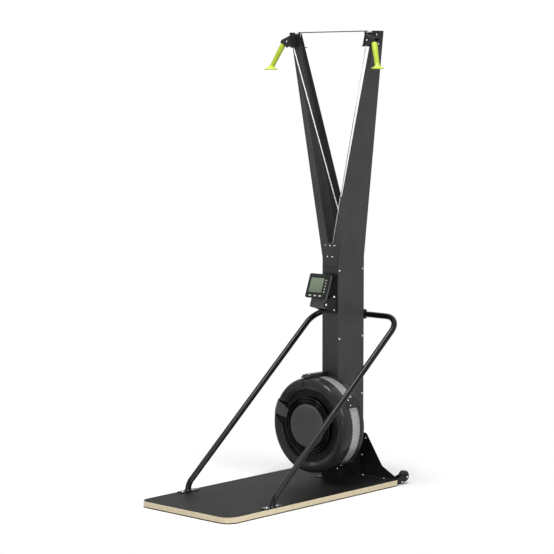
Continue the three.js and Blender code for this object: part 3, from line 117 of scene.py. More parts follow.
def linear(hex_colour):
    """sRGB hex to linear RGBA: c/12.92 below 0.04045, else ((c+0.055)/1.055)^2.4."""
    c = np.array([int(hex_colour[i : i + 2], 16) / 255 for i in (1, 3, 5)])
    low, high = c / 12.92, ((c + 0.055) / 1.055) ** 2.4
    return (*np.where(c <= 0.04045, low, high).tolist(), 1.0)


def add(tree, kind, links=None, values=None, **settings):
    """Adds a node, sets its properties and input values, and links sockets to its inputs."""
    made = tree.nodes.new("ShaderNode" + kind)
    for key, value in settings.items():
        setattr(made, key, value)
    for key, value in (values or {}).items():
        made.inputs[key].default_value = value
    for key, socket in (links or {}).items():
        tree.links.new(socket, made.inputs[key])
    return made


def per_metre(size_mm):
    """The Scale of a pattern whose features are size_mm apart on Object coordinates."""
    return 1.0 / (size_mm * MM)


print("middle grey in linear numbers: %.3f" % linear("#808080")[0])

# %% [markdown]
# Each material is named for what the real one is. The solid ones end alike: their patterns set a
# colour, a roughness and a small relief. Writing that end out each time would bury what makes
# them differ, so one function joins any patterns to the shader.

# %% The end that the solid materials share


def new_material(name):
    """An empty material: returns (material, tree)."""
    made = bpy.data.materials.new(name)
    made.use_nodes = True
    made.node_tree.nodes.clear()
    return made, made.node_tree


def surface(tree, tone, tones, values, span=(0.35, 0.65), gloss=None, relief=None):
    """Joins patterns that run from 0 to 1 to the shader.

    tone goes between two hex tones as it crosses span. gloss is a pattern with the roughness
    at its 0 and at its 1, and relief is a pattern with the bump's strength and depth in mm.
    """
    ramp = add(tree, "ValToRGB", {"Fac": tone})
    for stop, at, colour in zip(ramp.color_ramp.elements, span, tones):
        stop.position = at
        stop.color = linear(colour)
    links = {"Base Color": ramp.outputs["Color"]}
    if gloss:
        pattern, low, high = gloss
        rough = add(tree, "MapRange", {"Value": pattern}, {"To Min": low, "To Max": high})
        links["Roughness"] = rough.outputs["Result"]
    if relief:
        pattern, strength, depth_mm = relief
        sizes = {"Strength": strength, "Distance": depth_mm * MM}
        links["Normal"] = add(tree, "Bump", {"Height": pattern}, sizes).outputs["Normal"]
    shader = add(tree, "BsdfPrincipled", links, values)
    add(tree, "OutputMaterial", {"Surface": shader.outputs["BSDF"]})


# %% [markdown]
# Powder coat is plastic powder baked onto steel. It leaves a fine orange peel that spreads the
# highlight; moulded plastic has the grain of its mould, and rubber a duller one. Plain colour
# alone would look like paper, so a cloud moves the tone a little and noise raises the peel, on
# Object coordinates, which run on evenly over every fold. The real grain is about 0.4 mm. It is
# drawn at 2 to 4 mm, the finest that shows from where the camera stands.

# %% Coats, plastics and rubbers


def peeled_coat(name, tones, rough, specular=0.5, grain_mm=3.0, relief_mm=0.2):
    """A cloud 140 mm wide moves tone and roughness a little, and a fine grain gives the peel."""
    material, tree = new_material(name)
    place = add(tree, "TexCoord").outputs["Object"]
    cloud = add(tree, "TexNoise", {"Vector": place}, {"Scale": per_metre(140), "Detail": 5.0})
    grain = add(tree, "TexNoise", {"Vector": place}, {"Scale": per_metre(grain_mm), "Detail": 2.0})
    surface(
        tree,
        cloud.outputs["Fac"],
        tones,
        {"IOR": 1.5, "Specular IOR Level": specular},
        gloss=(cloud.outputs["Fac"], rough - 0.06, rough + 0.08),
        relief=(grain.outputs["Fac"], 0.35, relief_mm),
    )
    return material


print("grains of peel to a metre: %.0f" % per_metre(3.0))

# %% [markdown]
# The column, brackets, tubes and straps are all steel under black or charcoal powder. They could
# share one paint, but the charcoal is paler and duller than the black, and the tubes shine most,
# so each has its own tone and gloss.

# %% Painted steel

# The column's coat is satin charcoal: a broad soft shine, and grey where the light falls on it.
COLUMN_COAT = peeled_coat("charcoal_powder_coat", ("#313130", "#393938"), 0.5, 0.2)
# Brackets and forks are plain black, a little smoother.
BLACK_COAT = peeled_coat("black_powder_coat", ("#111111", "#181818"), 0.42, 0.15)
# The tubes are glossier, with one narrow highlight along each.
TUBE_COAT = peeled_coat(
    "black_tube_coat", ("#09090a", "#0e0e0f"), 0.24, 0.16, relief_mm=0.04
)
# The cage's straps lie between the two: a soft sheen along their rounded tops.
STRAP_COAT = peeled_coat(
    "black_strap_coat", ("#111112", "#19191a"), 0.3, 0.2, relief_mm=0.04
)

# %% [markdown]
# Housings, fan cage and monitor are moulded in black ABS, and the small wheels in nylon. The
# mould's polish is what tells them apart, so the colours stay close and the roughness and the
# gloss differ.

# %% Moulded plastics

# Textured black of the pulley housings.
HOUSING_PLASTIC = peeled_coat("black_abs_housing", ("#161618", "#1e1e20"), 0.42, 0.2)
# The fan cage is smooth and polished: dark, with crisp highlights on its rolled lip.
CAGE_PLASTIC = peeled_coat(
    "black_abs_cage", ("#282828", "#2e2e2e"), 0.13, 0.12, relief_mm=0.04
)
# Its centre cap is paler and more matt. The damper's lever takes the same paler plastic as
# painted light, for the light that falls on it from the left.
CAP_AND_LIT_LEVER_PLASTIC = peeled_coat(
    "black_abs_cap_and_painted_lever_light", ("#414141", "#484848"), 0.3, 0.15, relief_mm=0.04
)
# The damper ring is black plastic, and its near-black tone also paints the shade deep in the
# cage; on the slots beside its lever the same near-black is painted shade alone.
DAMPER_AND_SHADE_PLASTIC = peeled_coat(
    "black_abs_damper_and_painted_shade", ("#040404", "#080808"), 0.14, 0.14, relief_mm=0.04
)
# Turned or moulded nylon looks drier than ABS: black for drive wheels and drums, and its
# natural milky white for the small wheels.
DARK_PLASTIC = peeled_coat("black_nylon", ("#111112", "#171718"), 0.5, 0.25)
PALE_NYLON = peeled_coat("natural_nylon", ("#cfcfca", "#dededa"), 0.38)
# The monitor's face is fine-grained. Its back is coarser, and is made much paler than the face
# as painted light, for the light that falls on the monitor's side.
MONITOR_PLASTIC = peeled_coat(
    "black_abs_monitor", ("#202121", "#2a2b2b"), 0.5, 0.06, 2.0
)
LIT_BACK_PLASTIC = peeled_coat(
    "textured_abs_back_painted_light", ("#4c4c4d", "#585859"), 0.6, 0.06, 2.0
)

# %% [markdown]
# Keys and grips are soft to the touch, with a dry surface and no clear highlight. The mat under
# the board is duller still, and the tyres are a harder and smoother plastic rubber.

# %% Rubbers

# Keys and grips have a dry, velvety surface without a clear highlight.
KEY_RUBBER = peeled_coat(
    "grey_silicone_keys", ("#8d938b", "#a3a99f"), 0.55, grain_mm=2.0
)
GRIP_RUBBER = peeled_coat(
    "lime_grip_rubber", ("#93a51c", "#a5b728"), 0.5, grain_mm=2.5
)
# Sheet rubber swallows the light, and the tyres show a faint sheen on their shoulders.
MAT_RUBBER = peeled_coat("black_rubber", ("#141414", "#1e1e1e"), 0.85, grain_mm=4.0)
TYRE_RUBBER = peeled_coat("black_polyurethane", ("#111113", "#1a1a1c"), 0.55, 0.3)

# %% [markdown]
# The screws are zinc-plated steel, the shaft is ground bright, and the rotor is a sand casting. A
# metal with one even roughness looks like foil. A grain in the roughness breaks up the highlight
# as tool marks and sand do. A metal keeps the default IOR, and its colour and the width of its
# highlight tell it apart.

# %% Bare metals


def bare_metal(name, tones, rough, grain_mm, depth_mm=0.03):
    """Metal with a cloudy tone and a fine grain in its roughness and height."""
    material, tree = new_material(name)
    place = add(tree, "TexCoord").outputs["Object"]
    cloud = add(tree, "TexNoise", {"Vector": place}, {"Scale": per_metre(30), "Detail": 4.0})
    grain = add(tree, "TexNoise", {"Vector": place}, {"Scale": per_metre(grain_mm), "Detail": 3.0})
    surface(
        tree,
        cloud.outputs["Fac"],
        tones,
        {"Metallic": 1.0},
        gloss=(grain.outputs["Fac"], rough - 0.08, rough + 0.1),
        relief=(grain.outputs["Fac"], 0.3, depth_mm),
    )
    return material


# Zinc plate is nearly white with small bright glints, ground steel is a darker and even grey,
# and a sand casting is matt and pitted.
ZINC_SCREW = bare_metal("zinc_plated_steel", ("#d9dadc", "#f1f1f1"), 0.3, 2.0)
GROUND_STEEL = bare_metal("ground_steel", ("#b4b5b8", "#cfd0d2"), 0.28, 1.5)
CAST_ALLOY = bare_metal("cast_aluminium", ("#8b8c8f", "#a6a7a9"), 0.5, 3.0, 0.2)

# %% [markdown]
# The cage's band is steel sheet with thousands of small round holes. Cut as geometry, they would
# take far more than a hundred thousand faces for specks as small as a pixel. At this distance
# they only darken the band and break up its shine, so a pattern of dots 7 mm apart draws them,
# where the real ones are about half as far apart. Each dot is dark and dull, and the web between
# is bright.

# %% Perforated sheet
HOLE_PITCH = 7.0


def perforated_sheet(name, pitch_mm=HOLE_PITCH):
    """Dots in square cells of the band's own map: web = 0 within 0.24 of a cell's middle.

    The web rises to 1 at 0.4 of a cell. It is pale and smooth, and the dots lie lower.
    """
    material, tree = new_material(name)
    uv = add(tree, "UVMap", uv_map="band").outputs["UV"]
    dots = add(
        tree, "TexVoronoi", {"Vector": uv}, {"Scale": per_metre(pitch_mm), "Randomness": 0.0}
    )
    edge = {"From Min": 0.24, "From Max": 0.4}
    web = add(tree, "MapRange", {"Value": dots.outputs["Distance"]}, edge).outputs["Result"]
    surface(
        tree,
        web,
        ("#3a3a3a", "#b4b4b3"),
        {"Metallic": 0.55},
        span=(0.0, 1.0),
        gloss=(web, 0.9, 0.42),
        relief=(web, 0.6, 0.4),
    )
    return material


# From afar it reads as a grey and slightly shiny cloth.
MESH_STEEL = perforated_sheet("perforated_steel")
print("holes to a metre of the band: %.0f" % per_metre(HOLE_PITCH))

# %% [markdown]
# Birch plywood for floors has an oiled edge in which the plies show as thin layers, light along
# the grain and darker across it. The layers could be modelled one on another. A sine along z
# gives the same stripes, and carries them round the board's corners.

# %% Plywood edge
PLY = 2.7


def plywood_edge(name, ply_mm=PLY):
    """Layers along z: 0.16 sin(pi z / ply) + 0.5 makes every other ply darker, plus grain."""
    material, tree = new_material(name)
    place = add(tree, "TexCoord").outputs["Object"]
    z = add(tree, "SeparateXYZ", {"Vector": place}).outputs["Z"]
    plies = add(tree, "Math", {0: z}, {1: math.pi / (ply_mm * MM)}, operation="MULTIPLY")
    wave = add(tree, "Math", {0: plies.outputs[0]}, operation="SINE")
    blend = add(tree, "Math", {0: wave.outputs[0]}, {1: 0.16, 2: 0.5}, operation="MULTIPLY_ADD")
    flat = add(tree, "Mapping", {"Vector": place}, {"Scale": (1.0, 1.0, 14.0)}).outputs["Vector"]
    grain = add(tree, "TexNoise", {"Vector": flat}, {"Scale": per_metre(26), "Detail": 6.0})
    both = {0: blend.outputs[0], 1: grain.outputs["Fac"]}
    tone = add(tree, "Math", both, operation="ADD").outputs[0]
    surface(
        tree,
        tone,
        ("#8f8268", "#cfc2a4"),
        {"Roughness": 0.5, "IOR": 1.48},
        span=(0.62, 1.0),
        relief=(tone, 0.25, 0.15),
    )
    return material


# A warm pale line with fine darker stripes, under a thin satin oil.
PLY_EDGE = plywood_edge("birch_plywood_edge")
board_height = np.ptp(np.array(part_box("floor_board"))[:, 2]) / MM
print("plies in the board's edge: %.0f" % (board_height / PLY))

# %% [markdown]
# The board's faces carry a black resin film with a pressed net of fine wire that keeps shoes from
# slipping. As geometry the net would take over a million faces, so it is a relief in the
# material. Its real pitch is about 2 mm, and 6 mm is the finest that shows.

# %% Resin film
NET_PITCH = 6.0


def pressed_film(name, tones, pitch_mm=NET_PITCH):
    """Resin film with a pressed square net: the height is the larger of |sin x| and |sin y|."""
    material, tree = new_material(name)
    place = add(tree, "TexCoord").outputs["Object"]
    split = add(tree, "SeparateXYZ", {"Vector": place})
    ridges = []
    for axis in ("X", "Y"):
        turn = {0: split.outputs[axis]}
        turn = add(tree, "Math", turn, {1: math.pi / (pitch_mm * MM)}, operation="MULTIPLY")
        wave = add(tree, "Math", {0: turn.outputs[0]}, operation="SINE")
        ridges.append(add(tree, "Math", {0: wave.outputs[0]}, operation="ABSOLUTE").outputs[0])
    net = add(tree, "Math", {0: ridges[0], 1: ridges[1]}, operation="MAXIMUM")
    cloud = add(tree, "TexNoise", {"Vector": place}, {"Scale": per_metre(160), "Detail": 6.0})
    scuff = add(tree, "TexNoise", {"Vector": place}, {"Scale": per_metre(9), "Detail": 4.0})
    surface(
        tree,
        cloud.outputs["Fac"],
        tones,
        {"IOR": 1.5, "Specular IOR Level": 0.1},
        gloss=(scuff.outputs["Fac"], 0.42, 0.68),
        relief=(net.outputs[0], 0.12, 0.2),
    )
    return material


# Nearly black, with a dull shine that the net breaks up.
PLY_FILM = pressed_film("black_resin_film", ("#0c0c0b", "#131312"))
print("wires of the net to a metre: %.0f" % per_metre(NET_PITCH))

# %% [markdown]
# The cords are braided: strands run round the cord in two crossed screws. Modelled strands would
# be far thinner than a pixel here. A pattern does it instead, on a map that each cord carries, u
# along the cord and v round it, so that the braid follows every bend. The real strands are under
# 1 mm wide, and 6 mm is drawn so that they show.

# %% Braided cord
STRAND = 6.0


def braided_cord(name, tones, strand_mm=STRAND):
    """Crossed helices: the product of sin(u+v) and sin(u-v) gives the plaits of a braid."""
    material, tree = new_material(name)
    uv = add(tree, "UVMap", uv_map="along").outputs["UV"]
    split = add(tree, "SeparateXYZ", {"Vector": uv})
    turns = []
    for axis, rate in (("X", 2 * math.pi / (strand_mm * MM)), ("Y", 4 * math.pi)):
        made = add(tree, "Math", {0: split.outputs[axis]}, {1: rate}, operation="MULTIPLY")
        turns.append(made.outputs[0])
    waves = []
    for way in ("ADD", "SUBTRACT"):
        turn = add(tree, "Math", {0: turns[0], 1: turns[1]}, operation=way)
        waves.append(add(tree, "Math", {0: turn.outputs[0]}, operation="SINE").outputs[0])
    plait = add(tree, "Math", {0: waves[0], 1: waves[1]}, operation="MULTIPLY")
    height = add(tree, "MapRange", {"Value": plait.outputs[0]}, {"From Min": -1.0})
    surface(
        tree,
        height.outputs["Result"],
        tones,
        {"Roughness": 0.78, "Sheen Weight": 0.2},
        span=(0.1, 0.9),
        relief=(height.outputs["Result"], 0.5, 0.5),
    )
    return material


# Polyester is bright and a little fuzzy; the elastic's cover is the same braid in black.
WHITE_BRAID = braided_cord("white_polyester_braid", ("#d2d2cf", "#f2f2ef"))
BLACK_BRAID = braided_cord("black_elastic_braid", ("#131313", "#2a2a2a"))
print("plaits to a metre of cord: %.0f" % per_metre(STRAND))

# %% [markdown]
# The monitor's display is a grey-green liquid crystal behind clear acrylic. It could show
# figures, but the machine stands idle and its display is off, so it is a plain pane under a
# glossy window, darkening a little towards its lower edge as painted shade.

# %% Display


def liquid_crystal(name):
    """A pane whose tone rises from z = 0.92 m to 1 m as painted shade, with very fine dots of its
    pixels.
    """
    material, tree = new_material(name)
    place = add(tree, "TexCoord").outputs["Object"]
    z = add(tree, "SeparateXYZ", {"Vector": place}).outputs["Z"]
    fall = add(tree, "MapRange", {"Value": z}, {"From Min": 0.92, "From Max": 1.0})
    dots = add(tree, "TexNoise", {"Vector": place}, {"Scale": per_metre(2.0), "Detail": 1.0})
    both = {0: dots.outputs["Fac"], 2: fall.outputs["Result"]}
    tone = add(tree, "Math", both, {1: 0.15}, operation="MULTIPLY_ADD")
    window = {"Coat Weight": 0.12, "Coat Roughness": 0.08}
    surface(
        tree,
        tone.outputs[0],
        ("#4f5b49", "#65725c"),
        {"Roughness": 0.3, "Specular IOR Level": 0.1, **window},
        span=(0.0, 1.0),
    )
    return material


# Dull grey-green, with one faint reflection of the window.
DISPLAY = liquid_crystal("liquid_crystal_display")

# %% [markdown]
# Every new shape is one or more closed grids of points. A grid has stations along it and points
# round it; neighbours are joined by four-sided faces, and open ends are closed by one flat face.
# Curves and modifiers could make such shapes too, but computed points say just where each surface
# lies, so that it meets the frame.

# %% Closed grids


def grid(points, ring=False):
    """points is (stations, around, 3). Returns (points, quads, caps) of one closed surface."""
    p = np.asarray(points, float)
    m, n = p.shape[:2]
    index = np.arange(m * n).reshape(m, n)
    rows = index if not ring else np.vstack([index, index[:1]])
    low, high = rows[:-1], rows[1:]
    quads = np.stack([low, np.roll(low, -1, 1), np.roll(high, -1, 1), high], -1).reshape(-1, 4)
    caps = [] if ring else [index[0][::-1], index[-1]]
    return outwards(p.reshape(-1, 3), quads, caps)


def outwards(points, quads, caps):
    """Turns all faces round if the signed volume, the sum of a.(b x c) / 6, is negative."""

    def volume(a, b, c):
        return np.einsum("ij,ij->i", points[a], np.cross(points[b], points[c])).sum() / 6

    total = volume(quads[:, 0], quads[:, 1], quads[:, 2])
    total += volume(quads[:, 0], quads[:, 2], quads[:, 3])
    for cap in caps:
        first = np.full(len(cap) - 2, cap[0])
        total += volume(first, cap[1:-1], cap[2:])
    if total < 0:
        quads, caps = quads[:, ::-1], [cap[::-1] for cap in caps]
    return points, quads, caps


square = np.array([(0, 0, 0), (1, 0, 0), (1, 1, 0), (0, 1, 0)])
box = grid([square, square + (0, 0, 1)])
print("a box of two stations has", len(box[1]), "quads and", len(box[2]), "flat ends")

# %% [markdown]
# A finished piece is made from such forms. It takes its material's slot, rides on a body of the
# frame, and stands for the nodes that it replaces. All of this could be said beside each piece;
# one helper says it the same way for every one and forgets nothing.

# %% Pieces


def dressed(made, body, material, replaces=()):
    """Puts a new object in the scene: its finish and slot, the body it rides, what it replaces."""
    bpy.context.scene.collection.objects.link(made)
    for one in material if isinstance(material, (list, tuple)) else [material]:
        made.data.materials.append(one)
    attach(made, body)
    if replaces:
        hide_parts(*replaces)
    return made


def piece(name, forms, body, material, replaces=(), uv=None, corner=35):
    """One object from closed forms in layout millimetres; edges sharper than corner stay crisp."""
    points, faces, start = [], [], 0
    for form_points, quads, caps in forms:
        points.append(form_points)
        faces += (quads + start).tolist() + [(cap + start).tolist() for cap in caps]
        start += len(form_points)
    mesh = bpy.data.meshes.new(name)
    mesh.from_pydata(layout(np.vstack(points)).tolist(), [], faces)
    mesh.shade_smooth()
    mesh.set_sharp_from_angle(angle=math.radians(corner))
    if uv is not None:
        layer = mesh.uv_layers.new(name=uv[0])
        loops = np.zeros(len(mesh.loops), int)
        mesh.loops.foreach_get("vertex_index", loops)
        layer.data.foreach_set("uv", uv[1][loops].astype(np.float32).ravel())
    return dressed(bpy.data.objects.new(name, mesh), body, material, replaces)


# %% [markdown]
# Real edges are never quite sharp: a turned or moulded corner has a small radius that catches the
# light. A Bevel modifier could round them afterwards. Easing the outline itself gives each ring
# of a grid the same count of points, which the grid needs.

# %% Rounding an outline


def eased(points, radius, closed=True, steps=4):
    """Each corner p becomes the curve (1-t)^2 a + 2t(1-t) p + t^2 b, a and b up to radius away."""
    p = np.asarray(points, float)
    before, after = np.roll(p, 1, 0), np.roll(p, -1, 0)
    back, on = before - p, after - p
    back_length = np.linalg.norm(back, axis=1, keepdims=True)
    on_length = np.linalg.norm(on, axis=1, keepdims=True)
    reach = np.minimum(np.broadcast_to(np.reshape(radius, (-1, 1)), (len(p), 1)), 0.45 * back_length)
    reach = np.minimum(reach, 0.45 * on_length)
    a = p + back / back_length * reach
    b = p + on / on_length * reach
    t = np.linspace(0, 1, steps)[None, :, None]
    curve = (1 - t) ** 2 * a[:, None] + 2 * t * (1 - t) * p[:, None] + t**2 * b[:, None]
    if closed:
        return curve.reshape(-1, p.shape[1])
    return np.vstack([p[:1], curve[1:-1].reshape(-1, p.shape[1]), p[-1:]])


corner = eased([(0, 0), (10, 0), (10, 10), (0, 10)], 2.0)
print("a square of 10 mm with its corners eased has", len(corner), "points")

# %% [markdown]
# Wheels, rings, cups and shafts are turned on a lathe or could be, and tubes and cords are one
# section carried along a path. Blender's Screw modifier and its curves do both, but leave their
# points to be found afterwards. These two helpers return them at once as a closed grid.

# %% Turned and carried shapes


def turned(profile, centre, axis="y", radius=1.0, sides=96, closed=True):
    """A profile of (r, a): each point goes round the axis as r cos w, r sin w, at a along it.

    sides is a count of equal steps, or the angles themselves in degrees.
    """
    shape = eased(profile, radius, closed)
    turns = np.arange(sides) / sides * 360 if np.isscalar(sides) else np.asarray(sides)
    angle = np.radians(turns)
    r, a = shape[:, :1], np.broadcast_to(shape[:, 1:], (len(shape), len(turns)))
    u, v = r * np.cos(angle), r * np.sin(angle)
    order = {"x": (a, u, v), "y": (u, a, v), "z": (u, v, a)}[axis]
    return grid(np.stack(order, -1) + np.asarray(centre, float), ring=closed)


def swept(section, path, up):
    """A closed (u, v) section carried along a path: path + u * side + v * lift, square to it."""
    path = np.asarray(path, float)
    tangent = np.gradient(path, axis=0)
    tangent /= np.linalg.norm(tangent, axis=1, keepdims=True)
    side = np.cross(tangent, np.asarray(up, float))
    side /= np.linalg.norm(side, axis=1, keepdims=True)
    lift = np.cross(side, tangent)
    section = np.asarray(section, float)
    u = section[None, :, 0, None] * side[:, None]
    v = section[None, :, 1, None] * lift[:, None]
    return grid(path[:, None] + u + v)


def circle(radius, sides=24):
    """The points of a circle as (u, v)."""
    angle = np.arange(sides) / sides * 2 * math.pi
    return np.stack([np.cos(angle), np.sin(angle)], -1) * radius


hoop = turned([(9, 0), (10, 0), (10, 2), (9, 2)], (0, 0, 0), radius=0.3)
print("a turned hoop has", len(hoop[1]), "quads")

# %% [markdown]
# Plates and covers are cut from sheet and lifted to their thickness. A Solidify modifier could do
# that from a flat face. Here the outline is repeated four times, a little smaller at both faces,
# so that the rims catch the light.

# %% Flat plates


def slab(outline, low, high, plane="xy", edge=0.6):
    """A plate from low to high whose two rims are drawn in by edge, so that they catch light."""
    shape = np.asarray(outline, float)
    ahead, behind = np.roll(shape, -1, 0) - shape, shape - np.roll(shape, 1, 0)
    run = ahead / np.linalg.norm(ahead, axis=1, keepdims=True)
    run += behind / np.linalg.norm(behind, axis=1, keepdims=True)
    normal = np.stack([run[:, 1], -run[:, 0]], -1)
    normal /= np.linalg.norm(normal, axis=1, keepdims=True)
    area = np.sum(shape[:, 0] * np.roll(shape[:, 1], -1) - np.roll(shape[:, 0], -1) * shape[:, 1])
    inner = shape - normal * edge * np.sign(area)
    rings = [(inner, low), (shape, low + edge), (shape, high - edge), (inner, high)]
    stations = []
    for ring, level in rings:
        level = np.full(len(ring), level)
        order = {
            "xy": (ring[:, 0], ring[:, 1], level),
            "xz": (ring[:, 0], level, ring[:, 1]),
            "yz": (level, ring[:, 0], ring[:, 1]),
        }[plane]
        stations.append(np.stack(order, -1))
    return grid(np.stack(stations))


def rounded_box(width, height, radius, u=0.0, v=0.0, steps=6):
    """A rectangle about (u, v) with rounded corners, as outline points."""
    w, h = width / 2, height / 2
    corners = [(u - w, v - h), (u + w, v - h), (u + w, v + h), (u - w, v + h)]
    return eased(corners, radius, True, steps)


plate = slab(rounded_box(40, 20, 4), 0, 2)
print("a small plate has", len(plate[1]), "quads and", len(plate[2]), "flat faces")

# %% [markdown]
# Folded and cut sheet metal has the right shape in the frame already, with all its holes and
# lips. Modelling it again could only add errors. A copy with its doubled points merged and a fine
# bevel on its sharp edges keeps that shape and loses the knife edges.

# %% Sheet metal from the frame


def softened(node, material, width_mm=0.8, corner=30):
    """A copy of a node of the frame that stands for it: points within 0.01 mm merged, edges bevelled."""
    source = frame["nodes"][node]
    work = bmesh.new()
    work.from_mesh(source.data)
    bmesh.ops.remove_doubles(work, verts=work.verts, dist=0.01 * MM)
    bmesh.ops.dissolve_limit(
        work, angle_limit=math.radians(1.0), verts=work.verts, edges=work.edges
    )
    mesh = bpy.data.meshes.new(node + "_sheet")
    work.to_mesh(mesh)
    work.free()
    mesh.shade_smooth()
    mesh.set_sharp_from_angle(angle=math.radians(corner))
    mesh.materials.clear()
    made = dressed(bpy.data.objects.new(node + "_sheet", mesh), body_of(source)[0], material, [node])
    bevel = made.modifiers.new("edges", "BEVEL")
    bevel.width = width_mm * MM
    bevel.segments = 2
    bevel.limit_method = "ANGLE"
    bevel.angle_limit = math.radians(corner)
    bevel.harden_normals = True
    return made


print("nodes of the frame:", len(frame["nodes"]))

# %% [markdown]
# The column is two folded legs closed by panels, and brackets hold it on the board. Thick sheet
# has a wider bend than thin sheet, so each node gets its own bevel, and the housings on the arm
# tops have that of a moulding.

# %% Legs, panels, brackets and housings

# Each line is a node, its finish and its bevel in millimetres.
PAIRED_SHEETS = [
    ("leg_", COLUMN_COAT, 1.2),
    ("base_bracket_", BLACK_COAT, 0.8),
    ("pulley_housing_", HOUSING_PLASTIC, 0.8),
    ("pulley_cover_", HOUSING_PLASTIC, 0.8),
    ("wheel_fork_", BLACK_COAT, 0.6),
]
SINGLE_SHEETS = [
    ("front_panel", COLUMN_COAT, 1.0),
    ("rear_panel", COLUMN_COAT, 1.0),
    ("crotch_plate", COLUMN_COAT, 0.6),
    ("front_foot_bracket", BLACK_COAT, 0.8),
    ("tube_clamp", BLACK_COAT, 1.5),
    ("monitor_bracket", BLACK_COAT, 0.6),
]
sheets = [(node + side, *rest) for side, _ in SIDES for node, *rest in PAIRED_SHEETS] + SINGLE_SHEETS
for node, finish, bevel in sheets:
    softened(node, finish, bevel)
print("pieces of sheet metal and shell:", len(sheets))

# %% [markdown]
# The board is thick birch plywood with broad round corners at the user's end, and a thin rubber
# sheet of the same outline lies under it. A cube with bevelled corners would give all four the
# same radius. One outline lifted to its thickness gives each corner its own, and flat faces that
# take the film while the edge keeps its plies.

# %% Floor board and mat

board_low, board_high = node_box("floor_board")
mat_low, mat_high = node_box("base_mat")


def board_outline(low, high, front=55.0, rear=10.0):
    """The board seen from above: round front corners, nearly square rear corners."""
    corners = [(low[0], low[1]), (high[0], low[1]), (high[0], high[1]), (low[0], high[1])]
    return eased(corners, [front * 1.25, front * 1.25, rear, rear], True, 16)


board_form = slab(board_outline(board_low, board_high), board_low[2], board_high[2], "xy", 1.2)
board = piece("plywood_board", [board_form], "frame", [PLY_EDGE, PLY_FILM], ["floor_board"])
up = np.zeros(len(board.data.polygons) * 3)
board.data.polygons.foreach_get("normal", up)
film = (np.abs(up.reshape(-1, 3)[:, 2]) > 0.9).astype(int)
board.data.polygons.foreach_set("material_index", film)
mat_form = slab(board_outline(mat_low, mat_high), mat_low[2], mat_high[2], "xy", 0.8)
piece("rubber_mat", [mat_form], "frame", MAT_RUBBER, ["base_mat"])
print("board %.0f x %.0f x %.0f mm" % tuple(board_high - board_low), "with faces of film:", film.sum())

# %% [markdown]
# Tube is bent on a machine: straight runs joined by true arcs. A smooth curve through the same
# points would bulge between them, so the path is worked out as a bender makes it, from corners
# and radii.

# %% Paths with bends


def bend_path(corners, radii, steps=16):
    """Straight runs with true arcs at the corners: centre c, c + from cos w + across sin w."""
    corners = np.asarray(corners, float)
    path = [corners[:1]]
    for before, at, after, radius in zip(corners[:-2], corners[1:-1], corners[2:], radii):
        back = (before - at) / np.linalg.norm(before - at)
        on = (after - at) / np.linalg.norm(after - at)
        half = math.acos(np.clip(back @ on, -1, 1)) / 2
        middle = (back + on) / np.linalg.norm(back + on)
        centre = at + middle * radius / math.sin(half)
        start = at + back * radius / math.tan(half) - centre
        end = at + on * radius / math.tan(half) - centre
        sweep = math.acos(np.clip(start @ end / radius**2, -1, 1))
        w = np.linspace(0, 1, steps)[:, None]
        path.append(
            centre + (start * np.sin((1 - w) * sweep) + end * np.sin(w * sweep)) / math.sin(sweep)
        )
    path.append(corners[-1:])
    return np.vstack(path)


def lengths_along(path):
    """The length run up to each point of a path: the sum of |p[i+1] - p[i]|."""
    return np.concatenate([[0], np.cumsum(np.linalg.norm(np.diff(path, axis=0), axis=1))])


def longer(path, step=12.0):
    """The same path with points at most about step apart, by straight shares of its length."""
    run = lengths_along(path)
    extra = np.linspace(0, run[-1], int(run[-1] / step) + 2)
    at = np.unique(np.concatenate([run, extra]).round(3))
    return np.stack([np.interp(at, run, path[:, k]) for k in range(3)], -1)


elbow = bend_path([(0, 0, 0), (100, 0, 0), (100, 100, 0)], [20])
print("an elbow of 20 mm between runs of 80 mm is %.1f mm long" % lengths_along(elbow)[-1])

# %% [markdown]
# The support tubes run from a clamp behind the column outwards, down both sides and forwards to
# the board. A curve with a round bevel would do, but its ends would stay open or need caps. A
# circle carried along the path is closed at once. The foot of each is welded to a plate with
# round corners, and a small fillet of weld closes the joint.

# %% Support tubes

TUBE_RADIUS = 14.0
TUBE_SIDE = 268.0
CROSSBAR_Y, CROSSBAR_Z = 37.0, 803.0
KNEE_Y, KNEE_Z = -850.0, 66.0
FOOT_Y = -858.0
PLATE_LOW, PLATE_HIGH = BOARD_TOP + 0.3, BOARD_TOP + 4.3
for side, sign in SIDES:
    x = sign * TUBE_SIDE
    corners = [(sign * 0.3, CROSSBAR_Y, CROSSBAR_Z), (x, CROSSBAR_Y, CROSSBAR_Z)]
    corners += [(x, KNEE_Y, KNEE_Z), (x, FOOT_Y, PLATE_HIGH - 0.5)]
    route = bend_path(corners, [92, 60])
    # The section is kept upright by a direction in which no run of the tube points.
    upright = (0.2 * sign, -0.62, 0.76)
    tube = swept(circle(TUBE_RADIUS, 32), longer(route), upright)
    plate = slab(rounded_box(40, 118, 10, x - 4 * sign, FOOT_Y + 2), PLATE_LOW, PLATE_HIGH, "xy", 0.7)
    weld = [(TUBE_RADIUS, 0.0), (TUBE_RADIUS + 5, 0.0), (TUBE_RADIUS + 0.5, 4.0)]
    weld = turned(weld, (x, FOOT_Y, PLATE_HIGH - 0.1), "z", 0.5, 32)
    piece("bent_tube_" + side, [tube, plate, weld], "frame", TUBE_COAT, ["support_tube_" + side])
    print("support tube on the", side, "is %.0f mm long" % lengths_along(route)[-1])

# %% [markdown]
# Handles are moulded in one piece over the cord: a waisted grip that flares to a broad round
# stop, so that a hand can hang on it. The stop is level though the grip slants. It could be cut
# from a solid, but a profile turned about the slanting axis, whose end then slides along the axis
# to one level, keeps its round form and its even faces.

# %% Handles

